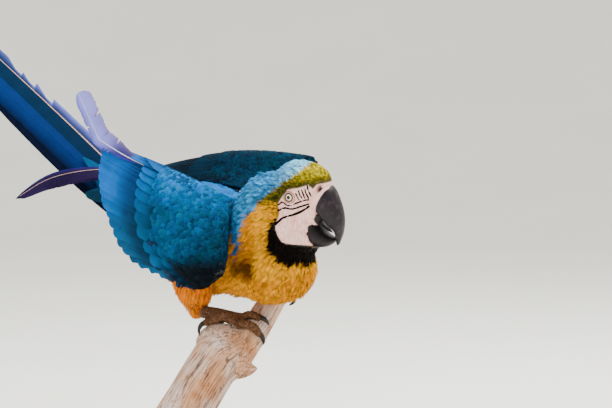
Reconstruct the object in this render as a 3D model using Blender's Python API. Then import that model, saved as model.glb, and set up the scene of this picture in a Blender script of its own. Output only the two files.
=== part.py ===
"""A still, life-size blue-and-yellow macaw, leaning forward over a cut branch on a plain display stand.

All sizes are in millimetres and become metres when a mesh is made.  Places on the bird and on its
perch are measured from the middle of its trunk: +X is forward, +Y is the bird's left, +Z is up.
"""
import math

import bmesh
import bpy
import numpy as np
from mathutils import Matrix, Vector

MM = 0.001
SEAM = 0.3                      # gap left between two pieces that touch

TRUNK_MIDDLE = Vector((-20, 0, 290))    # above the middle of the stand's underside

# Trunk and neck
TRUNK_PITCH = 24                # degrees nose down
TRUNK_ROLL = 14                 # degrees, right side down
TRUNK_LENGTH = 206
TRUNK_WIDTH = 104
TRUNK_HEIGHT = 104

# Head, measured from a point midway between the eyes
HEAD_PLACE = Vector((118, -4, 58))
HEAD_HEADING = 20               # degrees to the bird's left
HEAD_PITCH = 0
HEAD_ROLL = 10                  # degrees, crown leaning to the bird's right
EYE_RADIUS = 8.0
EYE_SIDE = 15.4                 # eye centre from the head's middle plane
EYE_FORWARD = 6.5

# Each row of a wing piece: thickness of the arm and of the secondaries at their front and at their tips
ARM_DEPTH = (15, 1.5)
SECONDARY_DEPTH = (6, 1.6)
ARM_REACH = 0.55                # part of the wing's breadth that the arm fills

# Tail
TAIL_ROOT = Vector((-98, 0, 7))
TAIL_PITCH = 30.5               # degrees up, towards the tip
TAIL_ROLL = 40                  # degrees, right edge down
TAIL_LENGTH = 478
TAIL_OUTER_LENGTH = 0.88        # of the middle's
TAIL_MIDDLE_WIDTHS = (34, 46, 56, 58, 52, 16)
TAIL_OUTER_WIDTHS = (20, 30, 36, 36, 32, 10)
TAIL_OUTER_DROP = 6             # the outer feathers lie that far under the middle ones
TAIL_DEPTHS = (5, 4, 3, 2)
TAIL_CAMBER = 2.5

# Feet
TOE_RADIUS = 5.0
CLAW_RADII = (3.4, 3.2, 2.2, 0.8)
CLAW_STEPS = ((-1, 0.6), (5, 1.6), (10, -1.2), (13, -6.5))     # ahead of the toe and off the branch

# Perch and stand
LIMB_RADIUS = 16
LOG_RADIUS = 30
STAND_RADIUS = 150
STAND_HEIGHT = 15
STAND_CHAMFER = 2
ROD_RADIUS = 8
ROD_HEADS = (Vector((15, -78, 100)), Vector((11, -106, 66)))     # tops, inside the log

COLOURS = {
    "blue": ("#1f74a6", 0.6, 0.0),
    "teal": ("#1c4f66", 0.6, 0.0),
    "deep_blue": ("#1c3f78", 0.5, 0.0),
    "yellow": ("#df8f06", 0.8, 0.0),
    "face": ("#e0cbc6", 0.6, 0.0),
    "horn": ("#241f22", 0.35, 0.0),
    "eye": ("#e6e2c0", 0.15, 0.0),
    "scale": ("#4a3830", 0.7, 0.0),
    "bleached_wood": ("#d8b49a", 0.85, 0.0),
    "black_paint": ("#202224", 0.45, 0.0),
    "steel": ("#8c8f92", 0.3, 1.0),
}


# ---------------------------------------------------------------- materials and plain mesh helpers

def linear(channel):
    """One sRGB channel, 0 to 1, as linear light."""
    if channel <= 0.04045:
        return channel / 12.92
    return ((channel + 0.055) / 1.055) ** 2.4


def material(name):
    """The Principled material of that name, made once."""
    found = bpy.data.materials.get(name)
    if found:
        return found
    code, roughness, metallic = COLOURS[name]
    made = bpy.data.materials.new(name)
    made.use_nodes = True
    shader = made.node_tree.nodes["Principled BSDF"]
    channels = [linear(int(code[i:i + 2], 16) / 255) for i in (1, 3, 5)]
    shader.inputs["Base Color"].default_value = (*channels, 1)
    shader.inputs["Roughness"].default_value = roughness
    shader.inputs["Metallic"].default_value = metallic
    return made


def new_object(name, mesh, colour):
    """Link a mesh as an object with one material and rounded shading."""
    piece = bpy.data.objects.new(name, mesh)
    bpy.context.collection.objects.link(piece)
    mesh.materials.clear()
    mesh.materials.append(material(colour))
    mesh.shade_smooth()
    mesh.set_sharp_from_angle(angle=math.radians(40))
    return piece


def mesh_from(points, faces):
    """A mesh of points in millimetres about the trunk's middle, its faces turned outward."""
    mesh = bpy.data.meshes.new("shape")
    mesh.from_pydata([(Vector(p) + TRUNK_MIDDLE) * MM for p in points], [], faces)
    tidy = bmesh.new()
    tidy.from_mesh(mesh)
    bmesh.ops.remove_doubles(tidy, verts=tidy.verts, dist=0.00001)
    bmesh.ops.recalc_face_normals(tidy, faces=tidy.faces)
    tidy.to_mesh(mesh)
    tidy.free()
    return mesh


def baked(piece):
    """Turn a piece's modifiers into its mesh."""
    graph = bpy.context.evaluated_depsgraph_get()
    mesh = bpy.data.meshes.new_from_object(piece.evaluated_get(graph))
    piece.modifiers.clear()
    piece.data = mesh
    return piece


def keep_largest(piece):
    """Drop every loose scrap of a piece but its largest."""
    work = bmesh.new()
    work.from_mesh(piece.data)
    left = set(work.verts)
    islands = []
    while left:
        stack = [left.pop()]
        island = [stack[0]]
        while stack:
            for edge in stack.pop().link_edges:
                for vert in edge.verts:
                    if vert in left:
                        left.remove(vert)
                        island.append(vert)
                        stack.append(vert)
        islands.append(island)
    islands.sort(key=len)
    for island in islands[:-1]:
        bmesh.ops.delete(work, geom=island, context="VERTS")
    work.to_mesh(piece.data)
    work.free()
    return piece


def carve(piece, *others, gap=SEAM * 1.15):
    """Cut other pieces out of this one, larger than they are by the gap."""
    for other in others:
        work = bmesh.new()
        work.from_mesh(other.data)
        work.normal_update()
        for vert in work.verts:
            vert.co += vert.normal * gap * MM
        swollen = bpy.data.meshes.new("swollen")
        work.to_mesh(swollen)
        work.free()
        cutter = bpy.data.objects.new("cutter", swollen)
        bpy.context.collection.objects.link(cutter)
        cut = piece.modifiers.new("cut", "BOOLEAN")
        cut.operation = "DIFFERENCE"
        cut.object = cutter
        baked(piece)
        bpy.data.objects.remove(cutter)
        keep_largest(piece)
    return piece


def hull_of(piece):
    """A convex stand-in for a piece, to cut the room that it needs."""
    work = bmesh.new()
    work.from_mesh(piece.data)
    shell = bmesh.ops.convex_hull(work, input=work.verts, use_existing_faces=False)
    inside = [g for g in shell["geom_interior"] if isinstance(g, bmesh.types.BMVert)]
    bmesh.ops.delete(work, geom=inside, context="VERTS")
    old = [f for f in work.faces if f not in set(shell["geom"])]
    bmesh.ops.delete(work, geom=old, context="FACES")
    bmesh.ops.recalc_face_normals(work, faces=work.faces)
    mesh = bpy.data.meshes.new("hull")
    work.to_mesh(mesh)
    work.free()
    hull = bpy.data.objects.new("hull", mesh)
    bpy.context.collection.objects.link(hull)
    return hull


def cut_off(piece, name, point, normal):
    """Part a piece by a plane: what lies along the normal becomes a new piece of that name."""
    halves = []
    for sign in (1, -1):
        work = bmesh.new()
        work.from_mesh(piece.data)
        place = (Vector(point) + TRUNK_MIDDLE + Vector(normal) * sign * SEAM / 2) * MM
        bmesh.ops.bisect_plane(work, geom=work.verts[:] + work.edges[:] + work.faces[:], dist=0.000001,
                               plane_co=place, plane_no=Vector(normal) * sign, clear_inner=True)
        bmesh.ops.holes_fill(work, edges=[e for e in work.edges if e.is_boundary], sides=0)
        bmesh.ops.triangulate(work, faces=[f for f in work.faces if len(f.verts) > 4])
        mesh = bpy.data.meshes.new(name)
        work.to_mesh(mesh)
        work.free()
        mesh.materials.append(piece.data.materials[0])
        halves.append(mesh)
    part = bpy.data.objects.new(name, halves[0])
    bpy.context.collection.objects.link(part)
    piece.data = halves[1]
    keep_largest(piece)
    return keep_largest(part)


def melt(name, meshes, colour, grain, rounds, faces):
    """Blend overlapping shapes into one smooth body of about that many faces."""
    pieces = [new_object(name, mesh, colour) for mesh in meshes]
    work = bmesh.new()
    for piece in pieces:
        work.from_mesh(piece.data)
    for piece in pieces[1:]:
        bpy.data.objects.remove(piece)
    body = pieces[0]
    work.to_mesh(body.data)
    work.free()
    remesh = body.modifiers.new("melt", "REMESH")
    remesh.mode = "VOXEL"
    remesh.voxel_size = grain * MM
    soften = body.modifiers.new("soften", "SMOOTH")
    soften.factor = 0.5
    soften.iterations = rounds
    baked(body)
    keep_largest(body)
    thin_out = body.modifiers.new("thin_out", "DECIMATE")
    thin_out.ratio = min(1, faces / sum(len(p.vertices) - 2 for p in body.data.polygons))
    baked(body)
    return body


# ---------------------------------------------------------------- curves and shapes

def smooth_curve(points, count):
    """Points evenly spaced by step along a curve through the given ones."""
    route = np.array([tuple(p) for p in points], float)
    ends = np.vstack([2 * route[0] - route[1], route, 2 * route[-1] - route[-2]])
    out = []
    for step in np.linspace(0, len(route) - 1, count):
        i = min(int(step), len(route) - 2)
        t = step - i
        a, b, c, d = ends[i:i + 4]
        out.append(0.5 * (2 * b + (c - a) * t + (2 * a - 5 * b + 4 * c - d) * t ** 2
                          + (3 * b - a - 3 * c + d) * t ** 3))
    return np.array(out)


def loft(rings):
    """A closed solid through rings of equal point count."""
    size = len(rings[0])
    points = [p for ring in rings for p in ring]
    faces = []
    for i in range(len(rings) - 1):
        for j in range(size):
            k = (j + 1) % size
            faces.append((i * size + j, i * size + k, (i + 1) * size + k, (i + 1) * size + j))
    for ring, first in ((rings[0], 0), (rings[-1], (len(rings) - 1) * size)):
        middle = len(points)
        points.append(Vector(np.mean([tuple(p) for p in ring], axis=0)))
        faces += [(first + j, first + (j + 1) % size, middle) for j in range(size)]
    return mesh_from(points, faces)


def tube(points, radii, sides=10, count=12):
    """A round-ended tube along a smooth curve; the radii are spread evenly along it."""
    route = [Vector(p) for p in smooth_curve(points, count)]
    widths = np.interp(np.linspace(0, 1, count), np.linspace(0, 1, len(radii)), radii)
    rings = []
    side = None
    for i, place in enumerate(route):
        ahead = (route[min(i + 1, count - 1)] - route[max(i - 1, 0)]).normalized()
        if side is None:
            side = ahead.orthogonal()
        side = (side - ahead * side.dot(ahead)).normalized()
        over = ahead.cross(side)
        ring = []
        for j in range(sides):
            turn = 2 * math.pi * j / sides
            ring.append(place + (side * math.cos(turn) + over * math.sin(turn)) * widths[i])
        rings.append(ring)
        if i in (0, count - 1):
            way = -1 if i == 0 else 1
            cap = [place + (p - place) * 0.6 + ahead * way * widths[i] * 0.7 for p in ring]
            rings.insert(len(rings) - (1 if i == 0 else 0), cap)
    return loft(rings)


def ellipsoid(centre, radii, turn=Matrix(), around=24):
    """A closed ellipsoid; turn sets its own axes."""
    work = bmesh.new()
    place = Matrix.Translation(Vector(centre) + TRUNK_MIDDLE) @ turn.to_4x4() @ Matrix.Diagonal((*radii, 1))
    bmesh.ops.create_uvsphere(work, u_segments=around, v_segments=around // 2, radius=1)
    bmesh.ops.transform(work, matrix=Matrix.Scale(MM, 4) @ place, verts=work.verts)
    mesh = bpy.data.meshes.new("ellipsoid")
    work.to_mesh(mesh)
    work.free()
    return mesh


def turned(heading, pitch, roll):
    """Axes of something that faces +X, then is rolled, pitched nose down and headed to the left."""
    return (Matrix.Rotation(math.radians(heading), 3, "Z") @ Matrix.Rotation(math.radians(pitch), 3, "Y")
            @ Matrix.Rotation(math.radians(roll), 3, "X"))


def sheet(front, tips, thickness, bulge, reach=(0.0, 1.0), drop=0.0, rows=10, columns=6):
    """A thin curved solid between two curves, short of its neighbour by half a seam.

    front and tips are curves of points; thickness is its value at the front and at the tips; bulge is
    how far the middle stands out; reach is the part of the way from front to tips that the solid
    fills; drop sets it that far under the curved surface.
    """
    starts = smooth_curve(front, rows)
    ends = smooth_curve(tips, rows)
    ways = np.linspace(0, 1, 41)
    surface = starts[:, None] * (1 - ways)[None, :, None] + ends[:, None] * ways[None, :, None]
    along = np.gradient(surface, axis=1)
    across = np.gradient(surface, axis=0)
    normal = np.cross(along, across)
    normal /= np.linalg.norm(normal, axis=2, keepdims=True)
    lift = np.sin(math.pi * ways)[None, :] * np.sin(math.pi * np.linspace(0.08, 0.92, rows))[:, None]
    surface = surface + normal * (bulge * lift - drop)[:, :, None]
    chosen = np.linspace(reach[0], reach[1], columns)
    picked = [int(round(40 * c)) for c in chosen]
    depth = np.interp(chosen, (0, 1), thickness)
    points = []
    for i in range(rows):
        rim = min(1.0, 0.35 + 4.0 * min(i, rows - 1 - i) / rows)
        for j, k in enumerate(picked):
            shift = 0
            if j == 0 and reach[0] > 0:
                shift = SEAM / 2
            elif j == columns - 1 and reach[1] < 1:
                shift = -SEAM / 2
            step = along[i, k] / np.linalg.norm(along[i, k]) * shift
            points.append(surface[i, k] + step)
            points.append(surface[i, k] + step - normal[i, k] * depth[j] * rim)
    faces = []

    def at(i, j, under):
        return (i * columns + j) * 2 + under

    for i in range(rows - 1):
        for j in range(columns - 1):
            for under in (0, 1):
                near = at(i, j, under), at(i + 1, j, under)
                far = at(i + 1, j + 1, under), at(i, j + 1, under)
                faces.append(near + far)
    for i in range(rows - 1):
        for j in (0, columns - 1):
            faces.append((at(i, j, 0), at(i + 1, j, 0), at(i + 1, j, 1), at(i, j, 1)))
    for j in range(columns - 1):
        for i in (0, rows - 1):
            faces.append((at(i, j, 0), at(i, j + 1, 0), at(i, j + 1, 1), at(i, j, 1)))
    return mesh_from(points, faces)


def blade(points, widths, thickness, facing, camber=0.0, count=10, tip_facing=None):
    """A long flat solid along a curve, cambered across, like a stack of closed feathers.

    facing is its outward way; with a tip_facing it twists towards that way around its middle.
    """
    route = [Vector(p) for p in smooth_curve(points, count)]
    broad = np.interp(np.linspace(0, 1, count), np.linspace(0, 1, len(widths)), widths)
    deep = np.interp(np.linspace(0, 1, count), np.linspace(0, 1, len(thickness)), thickness)
    root_out = Vector(facing).normalized()
    tip_out = Vector(tip_facing or facing).normalized()
    rings = []
    for i, place in enumerate(route):
        turn = min(max((i / (count - 1) - TWIST_START) / TWIST_PART, 0), 1)
        out = root_out.lerp(tip_out, turn).normalized()
        ahead = (route[min(i + 1, count - 1)] - route[max(i - 1, 0)]).normalized()
        side = ahead.cross(out).normalized()
        over = side.cross(ahead)
        top = []
        under = []
        for t in (-1, -0.5, 0, 0.5, 1):
            line = place + side * t * broad[i] / 2 - over * camber * t * t
            rim = 0.4 if abs(t) == 1 else 1
            top.append(line + over * deep[i] / 2 * rim)
            under.append(line - over * deep[i] / 2 * rim)
        rings.append(top + under[::-1])
    return loft(rings)


# ---------------------------------------------------------------- the bird's body

def trunk_shapes():
    """Breast, belly, back and rump as overlapping rounds."""
    turn = turned(0, TRUNK_PITCH, TRUNK_ROLL)
    trunk = ellipsoid((0, 0, 0), (TRUNK_LENGTH / 2, TRUNK_WIDTH / 2, TRUNK_HEIGHT / 2), turn)
    rump = ellipsoid((-86, 0, 18), (60, 34, 28), turned(0, 26, TRUNK_ROLL))
    vent = ellipsoid((-66, -8, -15), (54, 34, 37), turned(0, 30, TRUNK_ROLL))
    belly = ellipsoid((-22, -6, -24), (62, 42, 36), turned(0, 14, TRUNK_ROLL))
    breast = ellipsoid((74, 5, -24), (58, 50, 44), turned(0, 10, 0))
    shoulders = ellipsoid((30, 0, 9), (56, 48, 34), turned(0, 10, TRUNK_ROLL))
    back = ellipsoid((-22, 0, 24), (78, 44, 42), turned(0, 8, TRUNK_ROLL))
    return [trunk, rump, vent, belly, breast, shoulders, back]


def neck_shapes():
    """The thick ruffled neck, from the shoulders to the head."""
    route = [(42, 0, 2), (56, -3, 13), (70, -7, 24), (80, -10, 33)]
    return [tube(route, (44, 42, 40, 36), sides=20, count=9)]


def head_axes():
    """Rotation whose columns are the head's forward, left and up."""
    return turned(HEAD_HEADING, HEAD_PITCH, HEAD_ROLL)


def on_head(forward, side, up):
    """A place on the head; side is positive to the bird's left."""
    return HEAD_PLACE + head_axes() @ Vector((forward, side, up))


def head_shapes():
    """Skull with raised crown, forehead, cheeks and the skin round the bill."""
    axes = head_axes()

    def part(centre, radii, lean=0):
        return ellipsoid(on_head(*centre), radii, axes @ turned(0, lean, 0))

    crown = part((12, 0, 9.5), (33, 24, 29), 4)
    forehead = part((26.5, 0, 13), (25, 18, 22), 22)
    brow = part((6, 0, 4), (34, 21, 16))
    cheeks = part((-11, 0, -26), (35, 29, 33))
    chin = part((8, 0, -42), (25, 23, 23))
    muzzle = part((22, 0, -12), (20, 18, 25), -14)
    nape = part((-27, 0, -9), (36, 32, 32), -20)
    throat = part((-4, 0, -52), (36, 31, 25))
    ruff = part((-36, 0, -32), (36, 35, 42), -20)
    return [crown, forehead, brow, cheeks, chin, muzzle, nape, throat, ruff]


def bill_ring(top, bottom, half_width, flat):
    """One section of the bill, from its ridge to its edge; flat squares off the lower side."""
    upper = on_head(top[0], 0, top[1])
    lower = on_head(bottom[0], 0, bottom[1])
    left = head_axes() @ Vector((0, 1, 0))
    ring = []
    for j in range(12):
        turn = 2 * math.pi * j / 12
        height = (1 + math.cos(turn)) / 2
        spread = abs(math.sin(turn)) ** (0.8 if height > 0.5 else flat)
        ring.append(lower.lerp(upper, height) + left * math.copysign(spread, math.sin(turn)) * half_width)
    return ring


def upper_bill():
    """The hooked upper half, from inside the face to its tip."""
    sections = (
        ((36, 8), (24, -12), 14.5), ((45, 10.5), (31, -17.5), 16.5), ((52, 4.5), (37, -27), 15.8),
        ((57, -8), (43.5, -35), 13.5), ((60, -20), (48, -39.5), 11), ((60.7, -32), (50, -43.5), 8.4),
        ((59, -43), (50, -48), 6), ((56, -51), (49.8, -53), 3.8), ((53, -57), (50.6, -58.3), 1.6),
    )
    rings = [bill_ring(top, bottom, half, 0.45) for top, bottom, half in sections]
    return new_object("bill_upper", loft(rings), "horn")


def lower_bill():
    """The scoop-shaped lower half, a little open."""
    sections = (
        ((13, -33), (13, -50), 12), ((19, -30), (18.5, -53), 15.6), ((25, -28), (23, -57), 16.4),
        ((31.5, -35.5), (30, -59.5), 15.2), ((37.5, -43.5), (37, -59.5), 12.8),
        ((43.5, -47.5), (43, -58), 9.6), ((48, -49.2), (47.5, -55), 6), ((49.6, -50.2), (49.4, -52), 2.5),
    )
    rings = [bill_ring(top, bottom, half, 0.6) for top, bottom, half in sections]
    return new_object("bill_lower", loft(rings), "horn")


def tongue():
    """The thick dry tongue, its end between the halves of the bill."""
    route = [on_head(21, 0, -21), on_head(29, 0, -28.5), on_head(37, 0, -36.5), on_head(45.5, 0, -42.8)]
    return new_object("tongue", tube(route, (5.0, 4.6, 3.6, 2.4), sides=8, count=5), "horn")


def eye(name, side):
    """One eyeball, set in the face; side is 1 for the bird's left."""
    mesh = ellipsoid(on_head(EYE_FORWARD, side * EYE_SIDE, 0), (EYE_RADIUS,) * 3, head_axes(), 14)
    return new_object(name, mesh, "eye")


def body():
    """Trunk, neck and head from one blended body, parted by two thin cuts."""
    shapes = trunk_shapes() + neck_shapes() + head_shapes()
    trunk = melt("trunk", shapes, "yellow", 3.2, 24, 1750)
    neck = cut_off(trunk, "neck", (60, 0, 12), Vector((0.72, 0, 0.69)).normalized())
    facing = head_axes() @ Vector((0.75, 0, 0.66)).normalized()
    head = cut_off(neck, "head", on_head(-30, 0, -20), facing)
    return trunk, neck, head


# ---------------------------------------------------------------- wings

RIGHT_FRONT = ((60, -38, 51), (68, -58, 26), (79, -74, -2), (84, -84, -27), (66, -88, -47))
RIGHT_TIPS = ((-160, -44, 112), (-150, -60, 77), (-115, -78, 36),
              (-66, -91, -6), (2, -95, -27), (44, -90, -47))
RIGHT_BULGE = 16
LEFT_FRONT = ((46, 16, 56), (58, 46, 70), (64, 78, 96), (60, 98, 84), (40, 106, 60))
LEFT_TIPS = ((-132, -20, 75), (-138, 2, 78), (-130, 26, 78), (-104, 50, 74), (-66, 76, 58))
LEFT_BULGE = 12

# Feathers that reach past the sheets: routes, widths, depths and the way they face
RIGHT_PRIMARIES = ((66, -70, -30), (-40, -64, 21), (-122, -58, 51), (-176, -59, 57))
LEFT_PRIMARIES = ((36, 70, 68), (-60, 24, 64), (-165, -20, 76), (-240, -50, 66), (-270, -86, 40))
LEFT_FACING = (-0.1, -0.45, 0.85)
LEFT_TIP_FACING = (0.1, -0.9, 0.42)
TWIST_START = 0.45              # part of a blade's length where it starts to twist
TWIST_PART = 0.35               # part of the length over which it twists
BENT_LOWER = ((-84, -54, 87), (-120, -53, 100), (-158, -50, 113))
BENT_UPPER = ((-158, -50, 113), (-180, -48, 138), (-200, -45, 166))


def wings():
    """Arm, secondary and primary pieces of both wings."""
    made = {}
    sides = (("right", -1, RIGHT_FRONT, RIGHT_TIPS, RIGHT_BULGE),
             ("left", 1, LEFT_FRONT, LEFT_TIPS, LEFT_BULGE))
    for side, way, front, tips, bulge in sides:
        rows = (("arm", ARM_DEPTH, (0.0, ARM_REACH)), ("secondaries", SECONDARY_DEPTH, (ARM_REACH, 1.0)))
        for row, depth, reach in rows:
            name = f"wing_{side}_{row}"
            deep = [-way * d for d in depth]
            made[name] = new_object(name, sheet(front, tips, deep, -way * bulge, reach), "blue")
    right = blade(RIGHT_PRIMARIES, (30, 40, 28, 10), (5, 5, 3.5, 2), (0.25, -0.8, 0.55), 4)
    made["wing_right_primaries"] = new_object("wing_right_primaries", right, "deep_blue")
    left = blade(LEFT_PRIMARIES, (30, 44, 42, 38, 16), (4, 4, 3.5, 3, 2), LEFT_FACING, 3, 10, LEFT_TIP_FACING)
    made["wing_left_primaries"] = new_object("wing_left_primaries", left, "deep_blue")
    lower = blade(BENT_LOWER, (20, 24, 26), (2, 2, 2), (0.2, -0.8, 0.5))
    upper = blade(BENT_UPPER, (26, 25, 9), (2, 2, 1.6), (0.3, -0.85, 0.25))
    name = "wing_right_bent_feather"
    made[name] = melt(name, [lower, upper], "deep_blue", 1.2, 2, 160)
    return made


# ---------------------------------------------------------------- tail

def tail():
    """The long graduated tail as a middle blade between two shorter ones."""
    axes = turned(0, TAIL_PITCH, TAIL_ROLL)
    back = axes @ Vector((-1, 0, 0))
    left = axes @ Vector((0, 1, 0))
    out = axes @ Vector((0, 0, 1))
    made = {}

    def stack(name, side, start, length, widths, drop):
        root = TAIL_ROOT + back * start + left * side * 10 - out * drop
        middle = TAIL_ROOT + back * length * 0.5 + left * side * 21 - out * drop
        end = TAIL_ROOT + back * length + left * side * 15 - out * (drop - 2)
        mesh = blade([root, middle, end], widths, TAIL_DEPTHS, out, TAIL_CAMBER)
        made[name] = new_object(name, mesh, "deep_blue")

    shorter = TAIL_LENGTH * TAIL_OUTER_LENGTH
    stack("tail_middle", 0, 30, TAIL_LENGTH, TAIL_MIDDLE_WIDTHS, 0)
    stack("tail_right", -1, 34, shorter, TAIL_OUTER_WIDTHS, TAIL_OUTER_DROP)
    stack("tail_left", 1, 34, shorter, TAIL_OUTER_WIDTHS, TAIL_OUTER_DROP)
    return made


# ---------------------------------------------------------------- legs and feet

RIGHT_LEG = {
    "hip": (-8, -34, -30), "knee": (0, -42, -54), "hock": (8, -46, -78), "foot": (40, -36, -80),
    "toes": (
        ((40, -36, -80), (50, -22, -79), (58, -10, -84), (63, -3, -90)),
        ((40, -36, -80), (56, -28, -83), (70, -20, -91), (79, -14, -101)),
        ((40, -36, -80), (37, -43, -82), (34, -49, -86), (31, -54, -91)),
        ((40, -36, -80), (31, -27, -80), (23, -23, -83), (17, -22, -88)),
    ),
}
LEFT_LEG = {
    "hip": (4, 30, -20), "knee": (12, 40, -28), "hock": (22, 46, -36), "foot": (42, 46, -30),
    "toes": (
        ((42, 46, -30), (54, 48, -32), (64, 53, -42), (66, 56, -52)),
        ((42, 46, -30), (53, 40, -38), (62, 42, -52), (63, 45, -62)),
        ((42, 46, -30), (34, 50, -34), (28, 56, -46), (28, 56, -52)),
        ((42, 46, -30), (34, 42, -38), (28, 44, -52), (29, 44, -58)),
    ),
}


def resting(place, branch, lift):
    """A place moved to lie that far off the branch, with the outward direction there."""
    found, point, normal, _ = branch.closest_point_on_mesh((Vector(place) + TRUNK_MIDDLE) * MM)
    return point / MM - TRUNK_MIDDLE + normal * lift, normal


def toe_and_claw(toe, branch):
    """Routes of a toe that hugs the branch and of the hooked claw that carries it on."""
    route = [Vector(toe[0])]
    for place in toe[1:]:
        point, normal = resting(place, branch, TOE_RADIUS)
        route.append(point)
    ahead = (route[-1] - route[-2]).normalized()
    ahead = (ahead - normal * ahead.dot(normal)).normalized()
    claw = [route[-1] + ahead * far + normal * high for far, high in CLAW_STEPS]
    return route, claw


def legs(branch):
    """Feathered thighs, scaly feet with two toes each way, and claws."""
    made = {}
    for side, leg in (("right", RIGHT_LEG), ("left", LEFT_LEG)):
        thigh = tube([leg["hip"], leg["knee"], leg["hock"]], (31, 24, 11), sides=10, count=6)
        made[f"thigh_{side}"] = new_object(f"thigh_{side}", thigh, "yellow")
        shapes = [tube([leg["hock"], leg["foot"]], (7.5, 6.5), count=6)]
        for number, toe in enumerate(leg["toes"], 1):
            route, claw = toe_and_claw(toe, branch)
            shapes.append(tube(route, (TOE_RADIUS + 1, TOE_RADIUS, TOE_RADIUS - 0.6)))
            name = f"claw_{side}_{number}"
            made[name] = new_object(name, tube(claw, CLAW_RADII, sides=6, count=4), "horn")
        made[f"foot_{side}"] = melt(f"foot_{side}", shapes, "scale", 1.4, 4, 280)
    return made


# ---------------------------------------------------------------- perch and stand

def perch():
    """A short cut length of a dead branch: a log with a broken top and the limb beside it."""
    log = tube([(30, -116, -226), (34, -84, -180), (39, -52, -138), (41, -38, -114)],
               (LOG_RADIUS + 3, LOG_RADIUS, LOG_RADIUS - 1, LOG_RADIUS - 3), sides=14, count=10)
    stub = ellipsoid((37, -38, -112), (29, 27, 23))
    thinning = [LIMB_RADIUS + more for more in (5, 2, 0, -1, -2)]
    limb = tube([(50, -34, -132), (56, -7, -104), (52, 26, -73), (46, 57, -45), (42, 86, -14)],
                thinning, sides=12, count=12)
    knob = tube([(52, -40, -142), (66, -26, -142), (76, -20, -139)], (13, 9, 5), sides=8, count=6)
    branch = melt("perch_branch", [log, stub, limb, knob], "bleached_wood", 2.6, 6, 540)
    return branch


def cylinder(radius, height, place, segments):
    """A capped upright cylinder whose underside's middle is at a place, as editable geometry."""
    work = bmesh.new()
    bmesh.ops.create_cone(work, cap_ends=True, segments=segments, radius1=radius * MM,
                          radius2=radius * MM, depth=height * MM)
    bmesh.ops.translate(work, verts=work.verts, vec=(Vector(place) + Vector((0, 0, height / 2))) * MM)
    return work


def stand():
    """A flat round base with a chamfered rim, and two short rods up to the branch."""
    work = cylinder(STAND_RADIUS, STAND_HEIGHT, (0, 0, 0), 40)
    rim = [e for e in work.edges if all(v.co.z > STAND_HEIGHT * MM * 0.9 for v in e.verts)]
    bmesh.ops.bevel(work, geom=rim, offset=STAND_CHAMFER * MM, segments=1, affect="EDGES")
    mesh = bpy.data.meshes.new("base")
    work.to_mesh(mesh)
    work.free()
    base = new_object("stand_base", mesh, "black_paint")
    rods = []
    for number, head in enumerate(ROD_HEADS, 1):
        work = cylinder(ROD_RADIUS, head.z, (head.x, head.y, STAND_HEIGHT + SEAM), 20)
        mesh = bpy.data.meshes.new("rod")
        work.to_mesh(mesh)
        work.free()
        rods.append(new_object(f"stand_rod_{number}", mesh, "steel"))
    return base, rods


def main():
    """Make every piece and fit neighbours to each other."""
    for old in list(bpy.data.objects):
        bpy.data.objects.remove(old, do_unlink=True)
    trunk, neck, head = body()
    eyes = [eye("eye_right", -1), eye("eye_left", 1)]
    bills = [upper_bill(), lower_bill(), tongue()]
    carve(bills[2], bills[0], bills[1])
    carve(head, *eyes, *bills)
    wing = wings()
    tails = tail()
    branch = perch()
    leg = legs(branch)
    base, rods = stand()
    hollow = hull_of(leg["foot_left"])
    carve(trunk, branch, hollow, gap=SEAM * 2)
    bpy.data.objects.remove(hollow)
    for piece in list(wing.values()) + list(tails.values()):
        carve(piece, trunk, neck)
    for side in ("right", "left"):
        flesh = wing[f"wing_{side}_arm"], wing[f"wing_{side}_secondaries"]
        carve(wing[f"wing_{side}_primaries"], *flesh)
    carve(wing["wing_left_arm"], neck)
    carve(wing["wing_right_primaries"], wing["wing_left_primaries"])
    carve(wing["wing_right_bent_feather"], wing["wing_right_arm"], wing["wing_right_secondaries"])
    for side in ("right", "left"):
        thigh = leg[f"thigh_{side}"]
        foot = leg[f"foot_{side}"]
        claws = [leg[f"claw_{side}_{n}"] for n in range(1, 5)]
        carve(thigh, trunk)
        carve(foot, branch, thigh)
        for claw in claws:
            carve(claw, branch, foot)
    for rod in rods:
        carve(rod, branch)


main()
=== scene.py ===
"""A life-size museum model of a blue-and-yellow macaw leaning forward over a cut branch.

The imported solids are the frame.  One skin replaces the solids of flesh, a coat of separate vanes
lies over it, and the quills, bill, eyes, claws, branch and stand are dressed after the real ones.
Sizes are in millimetres from the middle of the trunk: +X forward, +Y the bird's left, +Z up.
"""

import logging
import math
from collections.abc import Callable
from dataclasses import dataclass
from enum import Enum
from functools import partial

import bmesh
import bpy
import numpy as np
from bpy.types import Collection, GeometryNodeTree, Material, Mesh, Node, NodeSocket, NodeTree, Object
from mathutils import Matrix, Vector
from mathutils.bvhtree import BVHTree
from mathutils.noise import fractal


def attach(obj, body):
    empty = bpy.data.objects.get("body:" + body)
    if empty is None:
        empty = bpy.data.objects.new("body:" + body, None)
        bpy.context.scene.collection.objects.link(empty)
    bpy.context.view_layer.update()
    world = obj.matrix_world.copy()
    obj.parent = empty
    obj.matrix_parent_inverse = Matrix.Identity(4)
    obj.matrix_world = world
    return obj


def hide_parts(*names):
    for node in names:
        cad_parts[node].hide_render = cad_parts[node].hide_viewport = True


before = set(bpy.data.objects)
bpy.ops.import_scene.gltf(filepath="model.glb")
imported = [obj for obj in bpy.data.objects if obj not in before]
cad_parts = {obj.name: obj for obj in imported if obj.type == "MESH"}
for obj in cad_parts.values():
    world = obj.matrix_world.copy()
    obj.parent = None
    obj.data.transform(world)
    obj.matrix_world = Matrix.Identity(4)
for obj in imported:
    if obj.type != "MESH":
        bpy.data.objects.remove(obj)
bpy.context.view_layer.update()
LOG = logging.getLogger("macaw")

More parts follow.
